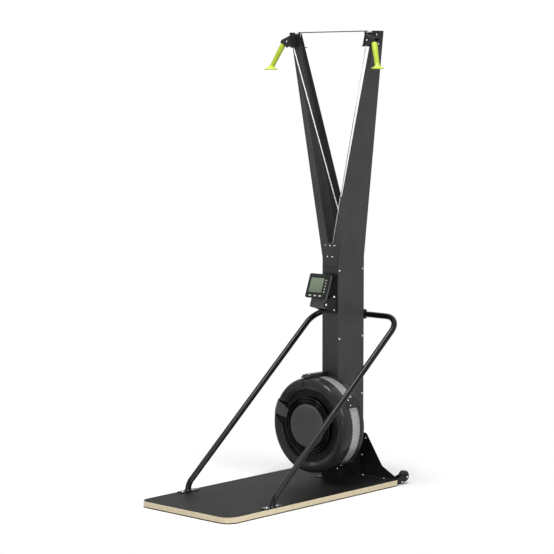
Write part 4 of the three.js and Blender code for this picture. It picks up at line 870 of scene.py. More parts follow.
HANDLE_TOP = np.array([285.0, -189.0, 2096.0])
HANDLE_FOOT = np.array([336.0, -224.0, 1976.0])
HANDLE_LENGTH = np.linalg.norm(HANDLE_FOOT - HANDLE_TOP)
HANDLE_LINE = (HANDLE_FOOT - HANDLE_TOP) / HANDLE_LENGTH
GRIP_PROFILE = [
    (2.8, 0.0),
    (10.8, 0.0),
    (13.2, 2.6),
    (12.8, 45.0),
    (11.6, 85.0),
    (11.0, HANDLE_LENGTH - 24.0),
    (13.2, HANDLE_LENGTH - 15.0),
    (20.0, HANDLE_LENGTH - 9.6),
    (28.8, HANDLE_LENGTH - 5.2),
    (29.2, HANDLE_LENGTH - 2.6),
    (27.0, HANDLE_LENGTH - 0.2),
    (9.0, HANDLE_LENGTH - 0.2),
    (9.0, HANDLE_LENGTH - 18.0),
    (2.8, HANDLE_LENGTH - 22.5),
]


def tilted(form, top, foot):
    """Puts a form turned about z on the line from top to foot, and levels its broad end.

    A point is p = z a + r with a along the line. Towards the end it moves along a by
    -share r.z / a.z, which brings every point of one height z to one level.
    """
    points, quads, caps = form
    along = (foot - top) / np.linalg.norm(foot - top)
    side = np.cross(along, [0.0, 1.0, 0.0])
    side /= np.linalg.norm(side)
    off = points[:, :1] * side + points[:, 1:2] * np.cross(along, side)
    share = np.clip((points[:, 2:] - HANDLE_LENGTH + 22.0) / 12.0, 0, 1)
    slide = points[:, 2:] - share * off[:, 2:] / along[2]
    return outwards(top + off + slide * along, quads, caps)


for side, sign in SIDES:
    flip = np.array([sign, 1, 1])
    grip = tilted(turned(GRIP_PROFILE, (0, 0, 0), "z", 5.0, 64), HANDLE_TOP * flip, HANDLE_FOOT * flip)
    handle = "handle_" + side
    piece("grip_" + side, [grip], handle, GRIP_RUBBER, [handle], corner=60)
print("handles %.0f mm long" % HANDLE_LENGTH)

# %% [markdown]
# The drive cords run from their drums over small pulleys to the handles, and one elastic cord
# goes up one arm, across the top and down the other. The routes repeat those of the frame. A
# hand-drawn curve would leave the pulleys or cut into them, so a straight run between two pulleys
# touches both, and an arc lies round each.

# %% Cord routes


def touching(first, second):
    """The straight run that leaves one pulley (x, z, signed radius) and reaches the next."""
    gap = np.array(second[:2]) - np.array(first[:2])
    length = np.linalg.norm(gap)
    turn = -math.acos((second[2] - first[2]) / length)
    c, s = math.cos(turn), math.sin(turn)
    normal = np.array([c * gap[0] - s * gap[1], s * gap[0] + c * gap[1]]) / length
    return np.array(first[:2]) - first[2] * normal, np.array(second[:2]) - second[2] * normal


def cord_path(pulleys, steps=24):
    """Straight runs and arcs: a point of an arc is centre + r (cos w, sin w), at the pulley's y."""
    path = []
    for i in range(len(pulleys) - 1):
        leave, reach = touching(pulleys[i][:3], pulleys[i + 1][:3])
        if i == 0:
            path.append([[leave[0], pulleys[0][3], leave[1]]])
        if i + 2 == len(pulleys):
            path.append([[reach[0], pulleys[-1][3], reach[1]]])
            break
        x, z, radius, y = pulleys[i + 1]
        onwards = touching(pulleys[i + 1][:3], pulleys[i + 2][:3])[0]
        start = math.atan2(reach[1] - z, reach[0] - x)
        end = math.atan2(onwards[1] - z, onwards[0] - x)
        clockwise = (start - end) % (2 * math.pi)
        sweep = -clockwise if radius > 0 else (2 * math.pi - clockwise) % (2 * math.pi)
        w = start + sweep * np.linspace(0, 1, steps)
        arc = np.stack([x + abs(radius) * np.cos(w), np.full(steps, y), z + abs(radius) * np.sin(w)], -1)
        path.append(arc)
    return np.vstack(path)


leave, reach = touching((0, 0, 10), (100, 0, -10))
print("a run that crosses between two pulleys is %.1f mm long" % np.linalg.norm(reach - leave))

# %% [markdown]
# Each cord is a tube round its route. The handle's end is held by a knot inside the grip, two
# tight turns of the same cord. It could be a plain ball, but a coil of cord takes the braid and
# casts its own small shadows.

# %% Where the cords run

# A pulley is its x, its z, the cord's radius, which is negative on the left of its travel, and y.
AXLE = np.array([0.0, 0.0, 298.0])
DRIVE_PULLEY = (250.0, 2109.0, 15.0, -182.5)
GUIDE_PULLEY = (30.0, 1138.0, 14.5)
RETURN_PULLEY = (225.0, 2140.0, -12.0, -150.0)
RETURN_PIN = (43.4, 1098.0, 7.8, -60.0)
DRIVE_SPOOL, RETURN_SPOOL = 28.0, 18.0
DRUM_Y = {"right": (-128.0, -104.5), "left": (-60.0, -83.5)}
GUIDE_Y = {"right": -101.0, "left": -89.0}
CORD_BEND = HANDLE_TOP - HANDLE_LINE * 18.5
CORD_END = HANDLE_TOP - HANDLE_LINE * 13.5
CORD_RADIUS = 2.5
CORD_SIDES = 12
# No run of a cord points this way, so the section never turns over along it.
CORD_UPRIGHT = (0.13, 0.98, 0.11)
# The knot is short and hidden, so it takes a flat map from its z and x, eight times as fine.
KNOT_MAP = 8
KNOT_LIFT = 9.5


def cord_piece(name, path, body, material, node, forms=()):
    """A tube round the path, with a map of metres along it and shares round it for the braid."""
    path = longer(path, 8.0)
    form = swept(circle(CORD_RADIUS, CORD_SIDES), path, CORD_UPRIGHT)
    run = lengths_along(path) * MM
    around = np.arange(CORD_SIDES) / CORD_SIDES
    uv = [np.stack([np.repeat(run, CORD_SIDES), np.tile(around, len(path))], -1)]
    uv += [points[:, [2, 0]] * MM * KNOT_MAP for points, quads, caps in forms]
    piece(name, [form, *forms], body, material, [node], ("along", np.vstack(uv)), 60)
    print(name, "is %.3f m long" % run[-1])


def knot(middle, line):
    """Two turns of cord about line: middle + (8 s - 4) line + 3.8 (cos w across + sin w other)."""
    w = np.linspace(0, 4 * math.pi, 60)[:, None]
    across = np.cross(line, [0.0, 1.0, 0.0])
    across /= np.linalg.norm(across)
    other = np.cross(line, across)
    coil = middle + (w / (4 * math.pi) * 8 - 4) * line
    coil = coil + 3.8 * np.cos(w) * across + 3.8 * np.sin(w) * other
    return swept(circle(2.4, 10), coil, tuple(line))


knot_quads = len(knot(HANDLE_FOOT, HANDLE_LINE)[1])
print("a cord is %.0f mm thick, and a knot has %d quads" % (2 * CORD_RADIUS, knot_quads))

# %% [markdown]
# A drive cord starts on its drum, passes the guide pulley of the other side, so that the two
# cross in the V, and comes over the arm's top to the handle. The part inside the handle is a
# piece of its own, because it rides with the handle.

# %% Drive cords and handle cords

for side, sign in SIDES:
    flip = np.array([sign, 1, 1])
    bend = CORD_BEND * flip
    guide_x, guide_z, guide_run = GUIDE_PULLEY
    drive_x, drive_z, drive_run, drive_y = DRIVE_PULLEY
    route = cord_path(
        [
            (0.0, AXLE[2], -DRIVE_SPOOL, DRUM_Y[side][0]),
            (-sign * guide_x, guide_z, sign * guide_run, GUIDE_Y[side]),
            (sign * drive_x, drive_z, sign * drive_run, drive_y),
            (bend[0], bend[2], 0.0, bend[1]),
        ]
    )
    route = np.vstack([route, CORD_END * flip])
    cord_piece("drive_braid_" + side, route, "frame", WHITE_BRAID, "drive_cord_" + side)
    start = (CORD_END + HANDLE_LINE * 0.3) * flip
    end = (HANDLE_FOOT - HANDLE_LINE * KNOT_LIFT) * flip
    cord_piece(
        "handle_braid_" + side,
        np.stack([start, end]),
        "handle_" + side,
        WHITE_BRAID,
        "handle_cord_" + side,
        forms=[knot(end, HANDLE_LINE * flip)],
    )

# %% [markdown]
# One black elastic cord pulls both drums back. Two cords that meet at the top would need a joint
# there. It is a single piece with both ends on a drum, so its route is one list of six stations,
# the second half mirrored from the first.

# %% Elastic return cord

elastic = cord_path(
    [
        (0.0, AXLE[2], RETURN_SPOOL, DRUM_Y["right"][1]),
        RETURN_PIN,
        RETURN_PULLEY,
        (-RETURN_PULLEY[0], *RETURN_PULLEY[1:]),
        (-RETURN_PIN[0], *RETURN_PIN[1:]),
        (0.0, AXLE[2], -RETURN_SPOOL, DRUM_Y["left"][1]),
    ]
)
cord_piece("elastic_braid", elastic, "frame", BLACK_BRAID, "return_cord")

# %% [markdown]
# Each pulley is a moulded wheel with a groove that the cord fits. All six could be separate
# drawings, but they differ only in size, so one profile with four sizes makes them, and the
# core's radius follows from where the cord's middle runs.

# %% Pulleys


def pulley_profile(run, width, bore, rim=7.0, flange=1.5):
    """A grooved wheel: bore, two flanges, and a core that carries the cord's middle at run."""
    core, half = run - 2.8, width / 2
    groove = half - flange
    return [
        (bore, -half),
        (core + rim, -half),
        (core + rim, -groove),
        (core, -groove + 1.0),
        (core, groove - 1.0),
        (core + rim, groove),
        (core + rim, half),
        (bore, half),
    ]


def wheel(kind, side, place, profile, material, sides):
    """One turned wheel that stands for the pulley of the same kind and side."""
    node = kind + "_pulley_" + side
    form = turned(profile, place, "y", 0.5, sides)
    piece(kind + "_wheel_" + side, [form], node, material, [node])


for side, sign in SIDES:
    x, z, run, y = DRIVE_PULLEY
    wheel("drive", side, (sign * x, y, z), pulley_profile(run, 14, 5.3, 4.8), DARK_PLASTIC, 96)
    x, z, run, y = RETURN_PULLEY
    wheel("return", side, (sign * x, y, z), pulley_profile(-run, 11, 4.3, 6.3), PALE_NYLON, 64)
    x, z, run = GUIDE_PULLEY
    y = GUIDE_Y["left" if side == "right" else "right"]
    wheel("guide", side, (sign * x, y, z), pulley_profile(run, 11, 4.3, 5.5), PALE_NYLON, 64)
print("pulleys turned: 6")

# %% [markdown]
# Each drum is two spools side by side, a wide one for the drive cord and a small one for the
# elastic. The rear drum is the front one turned end for end, so one profile serves both.

# %% Drums

DRUM_PROFILE = [
    (10.3, 0.0),
    (38.0, 0.0),
    (38.0, 3.0),
    (25.2, 3.0),
    (25.2, 33.0),
    (38.0, 33.0),
    (38.0, 36.0),
    (15.2, 36.0),
    (15.2, 47.0),
    (30.0, 47.0),
    (30.0, 50.0),
    (10.3, 50.0),
]
for name, front, way in (("front", -146.0, 1), ("rear", -42.0, -1)):
    profile = [(r, front + way * a) for r, a in DRUM_PROFILE]
    drum = turned(profile, AXLE, "y", 0.8)
    piece("drum_" + name, [drum], name + "_drum", DARK_PLASTIC, ["cord_drum_" + name])
    print(name, "drum from y = %.0f to %.0f mm" % (front, front + way * 50.0))

# %% [markdown]
# A ball bearing shows two steel rings and a shield between them. Its balls could be modelled too,
# but they stay hidden, so three turned rings are enough. The shaft has small steps and a groove
# for a clip, in one profile.

# %% Bearings and shaft

BEARING_WIDTH = 14.0
for name, low in (("front", -176.0), ("rear", 11.0)):
    rings = []
    for inner, outer, inset in ((10.3, 13.6, 0.0), (13.5, 17.6, 1.2), (17.5, 21.0, 0.0)):
        start, end = low + inset, low + BEARING_WIDTH - inset
        ring = [(inner, start), (outer, start), (outer, end), (inner, end)]
        rings.append(turned(ring, AXLE, "y", 0.5, 64))
    piece("bearing_" + name, rings, "frame", GROUND_STEEL, ["shaft_bearing_" + name])
SHAFT_PROFILE = [
    (7.5, -299),
    (9, -299),
    (10, -298),
    (10, -161),
    (9, -161),
    (9, -160),
    (10, -160),
    (10, 26),
    (9, 27),
    (7.5, 27),
]
shaft = turned(SHAFT_PROFILE, AXLE, "y", 0.3, 64, closed=False)
piece("bright_shaft", [shaft], "flywheel", GROUND_STEEL, ["drive_shaft"])
print("shaft %.0f mm long on two bearings" % np.ptp([a for r, a in SHAFT_PROFILE]))

# %% [markdown]
# The fan rotor is a cast disc with swept blades standing on it. The blades could be bent
# afterwards from straight walls. Here each is a thin wall along a curve whose angle grows with
# the square of its reach, so one formula gives the curve and sixteen turns give the wheel.

# %% Fan rotor


def blade(turn, inner=126.0, outer=203.0, sweep=20.0, front=-286.5, back=-202.5, wall=3.0):
    """Middle line r(s), angle = turn + sweep s^2; the wall lies half its width to each side."""
    s = np.linspace(0, 1, 12)
    r = inner + (outer - inner) * s
    angle = turn + math.radians(sweep) * s**2
    half = wall / 2 / r
    angles = np.concatenate([angle - half, (angle + half)[::-1]])
    radii = np.concatenate([r, r[::-1]])
    stations = []
    for y in (back, front):
        stations.append(
            np.stack([radii * np.cos(angles), np.full(len(radii), y), radii * np.sin(angles)], -1) + AXLE
        )
    return grid(np.stack(stations))


BLADES = 16
ROTOR_PROFILE = [
    (10.3, -200),
    (206, -200),
    (206, -203),
    (122, -203),
    (122, -217),
    (98, -217),
    (98, -203),
    (32, -203),
    (25.6, -292),
    (10.3, -292),
]
rotor = [turned(ROTOR_PROFILE, AXLE, "y", 1.5, 128)]
rotor += [blade(i / BLADES * 2 * math.pi) for i in range(BLADES)]
piece("cast_rotor", rotor, "flywheel", CAST_ALLOY, ["fan_rotor"])
print("rotor with", BLADES, "blades")

# %% [markdown]
# The cage's cover is a moulded ring with a rolled lip round a wide mouth. The damper's lever
# moves in a shallow recess of its face, between two dark slots. The form could be modelled by
# hand with subdivision, but it is round, so it is turned from a profile like the rest of the
# cage. Places round the axle are in degrees from the machine's right, counted over the top.

# %% Cover of the cage

FRONT = node_box("cage_front_cover")[0][1]
RECESS_START = 98.0
LEVER = (152.2, 169.8)
COVER_PROFILE = [
    (226.5, -262),
    (226.5, -305),
    (225.3, -312),
    (221.6, -318.8),
    (214.0, -323.6),
    (206.5, FRONT),
    (198.5, FRONT),
    (190.5, FRONT),
    (186.0, FRONT + 2.35),
    (181.5, FRONT + 4.7),
    (177.0, FRONT + 7.05),
    (172.6, FRONT + 9.4),
    (172, FRONT + 12),
    (172, -303),
    (175, -303),
    (175, FRONT + 12),
    (190.5, FRONT + 3),
    (206.5, FRONT + 3),
    (220.5, FRONT + 12),
    (223.5, -305),
    (223.5, -262),
]
print("the cover's mouth is %.0f mm across" % (2 * min(r for r, a in COVER_PROFILE)))

# %% [markdown]
# One slot is the gap at the start of the lever's way, and two lie above and below the lever.
# Cutting them with booleans would leave ragged triangles on the polished face. Instead a formula
# says how far each point of the plain cover lies in the way or in a slot.

# %% Places of the slots


def slots(points, wall=0.4):
    """Shares of the lever's way and of its dark slots at points of the plain cover's face.

    With e the degrees inside an edge, a share is clip(e / wall).
    """
    x, y, z = (points - AXLE).T
    turn = np.degrees(np.arctan2(z, x)) % 360
    inside = np.minimum(turn - RECESS_START, LEVER[1] + 1.4 - turn)
    notch = np.minimum(turn - RECESS_START, RECESS_START + 1.8 - turn)
    above = np.minimum(turn - LEVER[0] + 1.0, LEVER[0] + 0.8 - turn)
    below = np.minimum(turn - LEVER[1] + 0.8, LEVER[1] + 1.4 - turn)
    gap = np.max([notch, above, below], axis=0)
    front = np.clip((-290 - y) / 8, 0, 1) * (np.hypot(x, z) > 171)
    return front * np.clip(inside / wall, 0, 1), front * np.clip(gap / wall, 0, 1)


w = np.radians([130.0, LEVER[1] + 0.4])
on_face = AXLE + np.stack([200 * np.cos(w), np.full(2, FRONT), 200 * np.sin(w)], -1)
print("mid-way and below the lever: shares of the way %s, of a slot %s" % slots(on_face))

# %% [markdown]
# Points in the way move back 3 mm, and those in a slot 6 mm more. Real slots widen towards the
# mouth. A grid of even angles would draw a slanting edge as a saw, so the angles themselves turn
# with the reach, and an edge stays on one line of the grid.

# %% Setting the face back


def recessed(form, depth=3.0, slot=6.0):
    """Sets the face back along the lever's way, and deeper in the slots beside the lever.

    The slots widen towards the mouth: their outer edges turn on by 13.5 reach^1.5 degrees
    below the lever and 5 reach above it, with reach 0 at the rim and 1 at the mouth.
    """
    points, quads, caps = form
    way, gap = slots(points)
    x, y, z = (points - AXLE).T
    radius, turn = np.hypot(x, z), np.degrees(np.arctan2(z, x)) % 360
    reach = np.clip((222 - radius) / 50, 0, 1) * (radius > 171) * (y < -294)
    below = np.interp(turn, [LEVER[1] - 0.8, LEVER[1] + 1.4, LEVER[1] + 30], [0, 1, 0])
    above = np.interp(turn, [LEVER[0] - 20, LEVER[0] - 1, LEVER[0] + 0.8], [0, 1, 0])
    w = np.radians(turn + 13.5 * reach**1.5 * below - 5 * reach * above)
    y = y + depth * way + slot * gap
    return np.stack([radius * np.cos(w), y, radius * np.sin(w)], -1) + AXLE, quads, caps


print("the lever's way spans %.1f degrees" % (LEVER[1] + 1.4 - RECESS_START))

# %% [markdown]
# Spokes and straps are the same form at many angles. Copies of an object could be turned, but
# each would be an object of its own. Turning the points keeps all of them in one mesh.

# %% Turning a form about the axle


def about_axle(form, degrees):
    """Turns a form about the axle, clockwise as the user sees it, from the top."""
    points, quads, caps = form
    w = math.radians(degrees)
    x = points[:, 0] * math.cos(w) + points[:, 2] * math.sin(w)
    z = points[:, 2] * math.cos(w) - points[:, 0] * math.sin(w)
    return outwards(np.stack([x, points[:, 1], z], -1) + AXLE, quads, caps)


print("axle at z = %.0f mm" % AXLE[2])


# %% [markdown]
# A grille of thin rings and spokes fills the mouth and keeps fingers out. As a pattern it would
# be flat when seen from the side, and the dark gaps behind it are what makes it read, so every
# wire is there, and a spoke has only 14 faces.

# %% Grille

GRILLE_FRONT, GRILLE_BACK = -305.6, -303.0
GRILLE_RINGS = (106.0, 138.6, 144.2, 149.8, 155.4, 161.0, 166.6)
SPOKES = 144
grille = []
for radius in GRILLE_RINGS:
    wire = [(radius, GRILLE_FRONT), (radius + 1.7, GRILLE_FRONT)]
    wire += [(radius + 1.7, GRILLE_BACK), (radius, GRILLE_BACK)]
    grille.append(turned(wire, AXLE, "y", 0.4, 128))
spoke_outline = [(-0.9, 104), (0.9, 104), (0.9, 173), (-0.9, 173)]
spoke = slab(spoke_outline, GRILLE_FRONT - 1.0, GRILLE_BACK - 0.4, "xz", 0.3)
grille += [about_axle(spoke, degrees) for degrees in np.arange(SPOKES) * 360 / SPOKES]
deck = [(60, -305), (106, -305), (106, -303), (60, -303)]
grille.append(turned(deck, AXLE, "y", 0.2, 96))
print("grille of", len(GRILLE_RINGS), "rings and", SPOKES, "spokes")

# %% [markdown]
# The angles of the grid are even, with a few fine steps at each edge of a slot, so that its walls
# are steep and the rest stays light. The slots' faces take the near-black plastic: they stand for
# deep gaps into which no light falls.

# %% Cover with its recess and slots

fine = np.array([-0.1, 0.05, 0.2, 0.4, 0.6, 0.8, 1.0, 1.25])
rounds = [np.arange(180) * 2.0, RECESS_START + fine, RECESS_START + 1.8 - fine]
rounds += [np.arange(LEVER[0] - 1.4, LEVER[0] + 1.4, 0.2)]
rounds += [np.arange(LEVER[1] - 1.2, LEVER[1] + 1.8, 0.2)]
rounds = np.unique(np.round(np.concatenate(rounds), 3))
plain = turned(COVER_PROFILE, AXLE, "y", 2.0, rounds)
# The second finish is the near-black: painted shade on the faces of the slots.
finishes = [CAGE_PLASTIC, DAMPER_AND_SHADE_PLASTIC]
cover = piece("cage_cover", [recessed(plain), *grille], "frame", finishes, ["cage_front_cover"])
painted_shade_in_slot = np.zeros(len(cover.data.polygons), int)
painted_shade_in_slot[: len(plain[1])] = slots(plain[0][plain[1]].mean(axis=1))[1] > 0.3
cover.data.polygons.foreach_set("material_index", painted_shade_in_slot)
print("faces in the dark slots beside the lever:", painted_shade_in_slot.sum())

# %% [markdown]
# A shallow dish covers the hub. Its rim is eased in several steps because a wide soft highlight
# runs round it. A sphere pressed flat could give the dish, but not its straight wall and its thin
# edge, so it is turned from a profile like the rest of the cage.

# %% Centre cap

CAP_PROFILE = [
    (3.0, -334.6),
    (60, -335.4),
    (92, -336),
    (97, -335.6),
    (101.4, -333.4),
    (103, -328),
    (103, -305.5),
    (99, -305.5),
    (99, -328),
    (92, -332),
    (3.0, -332),
]
cap = turned(CAP_PROFILE, AXLE, "y", 1.2, 160, closed=False)
piece("cap_dish", [cap], "frame", CAP_AND_LIT_LEVER_PLASTIC, ["centre_cap"])
print("centre cap %.0f mm across" % (2 * max(r for r, a in CAP_PROFILE)))

# %% [markdown]
# The damper ring turns to open or close the inlet. Its three ridges are one profile carried
# round, and its lever lies in the recess of the cover and bends back over its corner. The lever
# could be a bent plate, but as an arc of one profile it stays true to the cage's round form at
# every angle.

# %% Damper ring


def arc_sheet(profile, centre, first, last, steps=28):
    """A closed (r, y) profile carried round the axle: r cos w, y, r sin w from first to last."""
    shape = eased(profile, 1.0)[None]
    w = np.radians(np.linspace(first, last, steps))[:, None]
    r, y = shape[..., 0], np.broadcast_to(shape[..., 1], (steps, shape.shape[1]))
    return grid(np.stack([r * np.cos(w), y, r * np.sin(w)], -1) + centre)


ridges = [(105, -305.5)]
for low, high in ((105, 111.6), (118.2, 124.8), (131.4, 138)):
    ridges += [(low, -315), (low, -327.6), (low + 1.6, -329.5)]
    ridges += [(high - 1.6, -329.5), (high, -327.6), (high, -315)]
ridges += [(138, -305.5)]
w = np.linspace(0, math.pi / 2, 7)
over, under = (np.stack([206.5 + r * np.cos(w), -302 - r * np.sin(w)], -1) for r in (24.2, 21.2))
lever = [(230.7, -295.2), *over, (132, -326.2), (132, -323.2), *under[::-1], (227.7, -295.2)]
ridge_form, lever_form = turned(ridges, AXLE, "y", 0.8, 160), arc_sheet(lever, AXLE, *LEVER)
# The ridges' near-black is partly painted shade, and the lever's paler plastic is painted light.
finishes = [DAMPER_AND_SHADE_PLASTIC, CAP_AND_LIT_LEVER_PLASTIC]
damper = piece("damper_lever", [ridge_form, lever_form], "damper", finishes, ["damper_ring"])
on_lever = np.arange(len(damper.data.polygons)) >= len(ridge_form[1]) + len(ridge_form[2])
damper.data.polygons.foreach_set("material_index", on_lever.astype(int))
print("faces on the damper's lever:", on_lever.sum())

# %% [markdown]
# The band closes the cage between the cover and the rear plate. Its holes need a map that runs
# round it, because a pattern in plain space would squeeze them at the sides, so it carries metres
# round it and metres along its depth.

# %% Perforated band

BAND_INNER, BAND_OUTER, BAND_FRONT, BAND_BACK = 221.2, 223.2, -277.0, -190.0
# The map is measured inside the sheet, in metres from the axle.
BAND_RADIUS = 0.222
band_profile = [(BAND_INNER, BAND_FRONT), (BAND_OUTER, BAND_FRONT)]
band_profile += [(BAND_OUTER, BAND_BACK), (BAND_INNER, BAND_BACK)]
band = turned(band_profile, AXLE, "y", 0.2, 160)
flat = band[0] - AXLE
around = np.arctan2(flat[:, 2], flat[:, 0]) + math.pi
band_uv = np.stack([around * BAND_RADIUS, (flat[:, 1] - BAND_FRONT) * MM], -1)
piece("perforated_band", [band], "frame", MESH_STEEL, ["mesh_band"], ("band", band_uv))
print("band %.2f m round" % (math.tau * BAND_RADIUS))

# %% [markdown]
# The rear plate is a dished disc that the column carries. Three straps of coated sheet reach from
# it over the band to the cover, and their front ends are rounded down onto its rim. They are the
# same shape at three angles, so one function makes them.

# %% Rear plate and straps

REAR_PROFILE = [
    (21.3, -167.3),
    (45, -167.3),
    (46, -180),
    (226.5, -180),
    (226.5, -205),
    (223.5, -205),
    (223.5, -183),
    (21.3, -183),
]
# Each strap is its place in degrees, how far it reaches to the front, and the radius of its top.
STRAPS = [(96, -322.0, 243.6), (32, -272.0, 233.1), (-53, -272.0, 233.1)]
STRAP_UNDERSIDE, STRAP_BACK, STRAP_WIDTH = 227.1, -180.0, 50.0


def strap(degrees, front, top):
    """A rail from the rear plate to front, its top at a radius, and a foot on the rear plate.

    The rail's side view is a box whose front slopes down by 1 / 1.2, over 18 mm at most.
    """
    under, back, half = STRAP_UNDERSIDE, STRAP_BACK, STRAP_WIDTH / 2
    slope = min(18.0, (top - under) * 1.2)
    side = [(back, under), (back, top), (front + slope, top), (front, under + 2.5), (front, under)]
    rail = slab(eased(side, [0.6, 1.5, 9.0, 1.5, 0.6], True, 6), -half, half, "yz", 1.6)
    foot = eased([(-half, 222), (half, 222), (half, 229), (-half, 229)], 1.0, True, 4)
    foot = slab(foot, back - 3, back, "xz", 0.5)
    return [about_axle(rail, 90 - degrees), about_axle(foot, 90 - degrees)]


plate = turned(REAR_PROFILE, AXLE, "y", 1.5, 160)
forms = [plate] + [form for places in STRAPS for form in strap(*places)]
finishes = [CAGE_PLASTIC, STRAP_COAT]
rear_plate = piece("rear_plate", forms, "frame", finishes, ["cage_rear_plate"])
on_strap = np.arange(len(rear_plate.data.polygons)) >= len(plate[1]) + len(plate[2])
rear_plate.data.polygons.foreach_set("material_index", on_strap.astype(int))
print("straps over the band:", len(STRAPS))

# %% [markdown]
# Hard black tyres on a hub, in forks at the rear corners of the board, touch the floor when the
# machine is tipped back. A torus would be too round for their nearly flat tread, so they are
# turned from a profile. The tyre's two halves mirror each other, so half a profile is typed and
# the other half is worked out.

# %% Transport wheels

WHEEL_X, WHEEL_Y, WHEEL_Z = 266.0, 67.0, 36.0
half_tyre = [(5.3, 14), (11, 14), (13, 12.5), (20, 12.5), (23, 13.5), (26, 12), (27, 9)]
tyre = [(r, -a) for r, a in half_tyre] + half_tyre[::-1]
for side, sign in SIDES:
    roller = turned(tyre, (sign * WHEEL_X, WHEEL_Y, WHEEL_Z), "x", 1.0, 64)
    wheel_node = "transport_wheel_" + side
    piece("roller_" + side, [roller], wheel_node, TYRE_RUBBER, [wheel_node])
print("transport wheels %.0f mm across" % (2 * max(r for r, a in tyre)))

# %% [markdown]
# The monitor's front shell is a flat moulding with soft corners round a sunk window, and it leans
# back on its bracket. It is worked out flat about the middle of its face, as it would be drawn,
# and leant back afterwards. Its form is a stack of rounded rectangles, which gives each edge its
# own radius. The back shell's form is the frame's own.

# %% Monitor shells

TILT = math.radians(20.0)
FACE = np.array([0.0, -261.0, 960.0])


def leant(form):
    """Turns a form about x by the monitor's tilt, z back towards y, and moves it to its place."""
    points, quads, caps = form
    x, y, z = points.T
    back = y * math.cos(TILT) + z * math.sin(TILT)
    up = z * math.cos(TILT) - y * math.sin(TILT)
    return outwards(np.stack([x, back, up], -1) + FACE, quads, caps)


def stack(rings):
    """A closed shell from (width, height, corner, u, v, y) rings, from first to last."""
    stations = []
    for width, height, corner, u, v, y in rings:
        flat = rounded_box(width, height, corner, u, v, 6)
        stations.append(np.stack([flat[:, 0], np.full(len(flat), y), flat[:, 1]], -1))
    return np.stack(stations)


# Each ring is a width, a height, a corner radius, its middle as (u, v), and its depth.
FRONT_RINGS = [
    (122, 116, 8, 0, 0, 11.9),
    (124, 118, 9, 0, 0, 11),
    (124, 118, 9, 0, 0, 2),
    (122, 116, 8.5, 0, 0, 0.4),
    (119, 113, 8, 0, 0, 0),
    (84, 74, 3, -6, 3, 0.0),
    (82.4, 72.4, 2.5, -6, 3, 0.9),
    (82.0, 72.0, 2.5, -6, 3, 5),
    (119, 113, 6, 0, 0, 5.1),
    (119, 113, 6, 0, 0, 11.9),
]
front_shell = leant(grid(stack(FRONT_RINGS), ring=True))
piece("monitor_face", [front_shell], "monitor", MONITOR_PLASTIC, ["monitor_front"])
# The back shell's paler plastic is painted light on the monitor's side.
softened("monitor_back", LIT_BACK_PLASTIC, 2.0)
print("monitor leant back by %.0f degrees" % math.degrees(TILT))

# %% [markdown]
# Five round keys stand beside the display and three wide ones below it. Each has a low dome and a
# soft edge, made by the same stack of rectangles as the shell, with its corners so round that a
# square key becomes a button.

# %% Display and keys

screen = leant(slab(rounded_box(81.2, 71.2, 2.5, -6, 3), 1.0, 3.0, "xz", 0.2))
piece("display", [screen], "monitor", DISPLAY, ["monitor_screen"])
# Each ring of a key is an inset and a depth: the foot, the side, the soft edge and the dome.
KEY_DOME = [(0.4, 3.0), (0.0, 2.6), (0.0, -0.4), (0.35, -0.95), (1.1, -1.25), (2.4, -1.3)]
keys = [("menu_key_%d" % (i + 1), 51.0, 28.0 - 14.0 * i, 8.0, 8.0) for i in range(5)]
keys += [("wide_key_%d" % (i + 1), -31.0 + 31.0 * i, -49.0, 17.0, 8.0) for i in range(3)]
for name, u, v, width, height in keys:
    rings = []
    for inset, y in KEY_DOME:
        across, tall = width - 2 * inset, height - 2 * inset
        rings.append((across, tall, 0.62 * tall, u, v, y))
    piece(name + "_cap", [leant(grid(stack(rings)))], name, KEY_RUBBER, [name], corner=50)
print("keys:", len(keys))

# %% [markdown]
# The cover of each housing is folded: its front runs inwards beside the cord, and a side wall
# goes back to the rear plate and hides the cord. A round rod along its lower edge keeps the cord
# in, and a small plate half closes the mouth above the handle. The side wall twists a little, so
# it is a sheet ruled between two lines, where a flat plate would miss a corner.

# %% Trim of the pulley housings


def ruled(near, far, wall):
    """A sheet between two lines of corners in space: p = near + s (far - near), wall thick."""
    near, far = np.asarray(near, float), np.asarray(far, float)
    normal = np.cross(near[1] - near[0], far[0] - near[0])
    normal *= wall / np.linalg.norm(normal)
    ring = np.stack([near[0], near[1], far[1], far[0]])
    return grid(np.stack([ring, ring + normal]))


TRIM_FRONT = [(224.3, 2084.2), (236.6, 2084.2), (236.6, 2136.8)]
WALL_NEAR = np.array([(224.2, -201.0, 2084.2), (236.4, -201.0, 2136.8)])
WALL_FAR = np.array([(224.2, -161.4, 2084.2), (237.4, -161.4, 2145.2)])
ROD_X, ROD_Z = 221.8, 2082.2
MOUTH = [(271.6, 2093.9), (296.0, 2104.3), (295.2, 2106.1), (270.8, 2095.7)]
for side, sign in SIDES:
    flip = np.array([sign, 1, 1])
    front = slab([(sign * x, z) for x, z in TRIM_FRONT], -201.0, -198.0, "xz", 0.5)
    wall = ruled(WALL_NEAR * flip, WALL_FAR * flip, -2.0 * sign)
    rod_path = np.linspace((sign * ROD_X, -203.0, ROD_Z), (sign * ROD_X, -89.0, ROD_Z), 12)
    rod = swept(circle(2.2, 12), rod_path, (0, 0, 1))
    mouth = slab([(sign * x, z) for x, z in MOUTH], -178.0, -161.5, "xz", 0.4)
    trim = [front, wall, rod, mouth]
    piece("housing_trim_" + side, trim, "frame", HOUSING_PLASTIC)
    print("trim sheets and rods on the", side, "housing:", len(trim))

# %% [markdown]
# Bright screw heads dot the dark sheet. A plain half ball would catch the light, but from close
# by the socket is what makes it a screw. So each head is a low dome whose inner rings turn from
# round to six-cornered.

# %% One screw

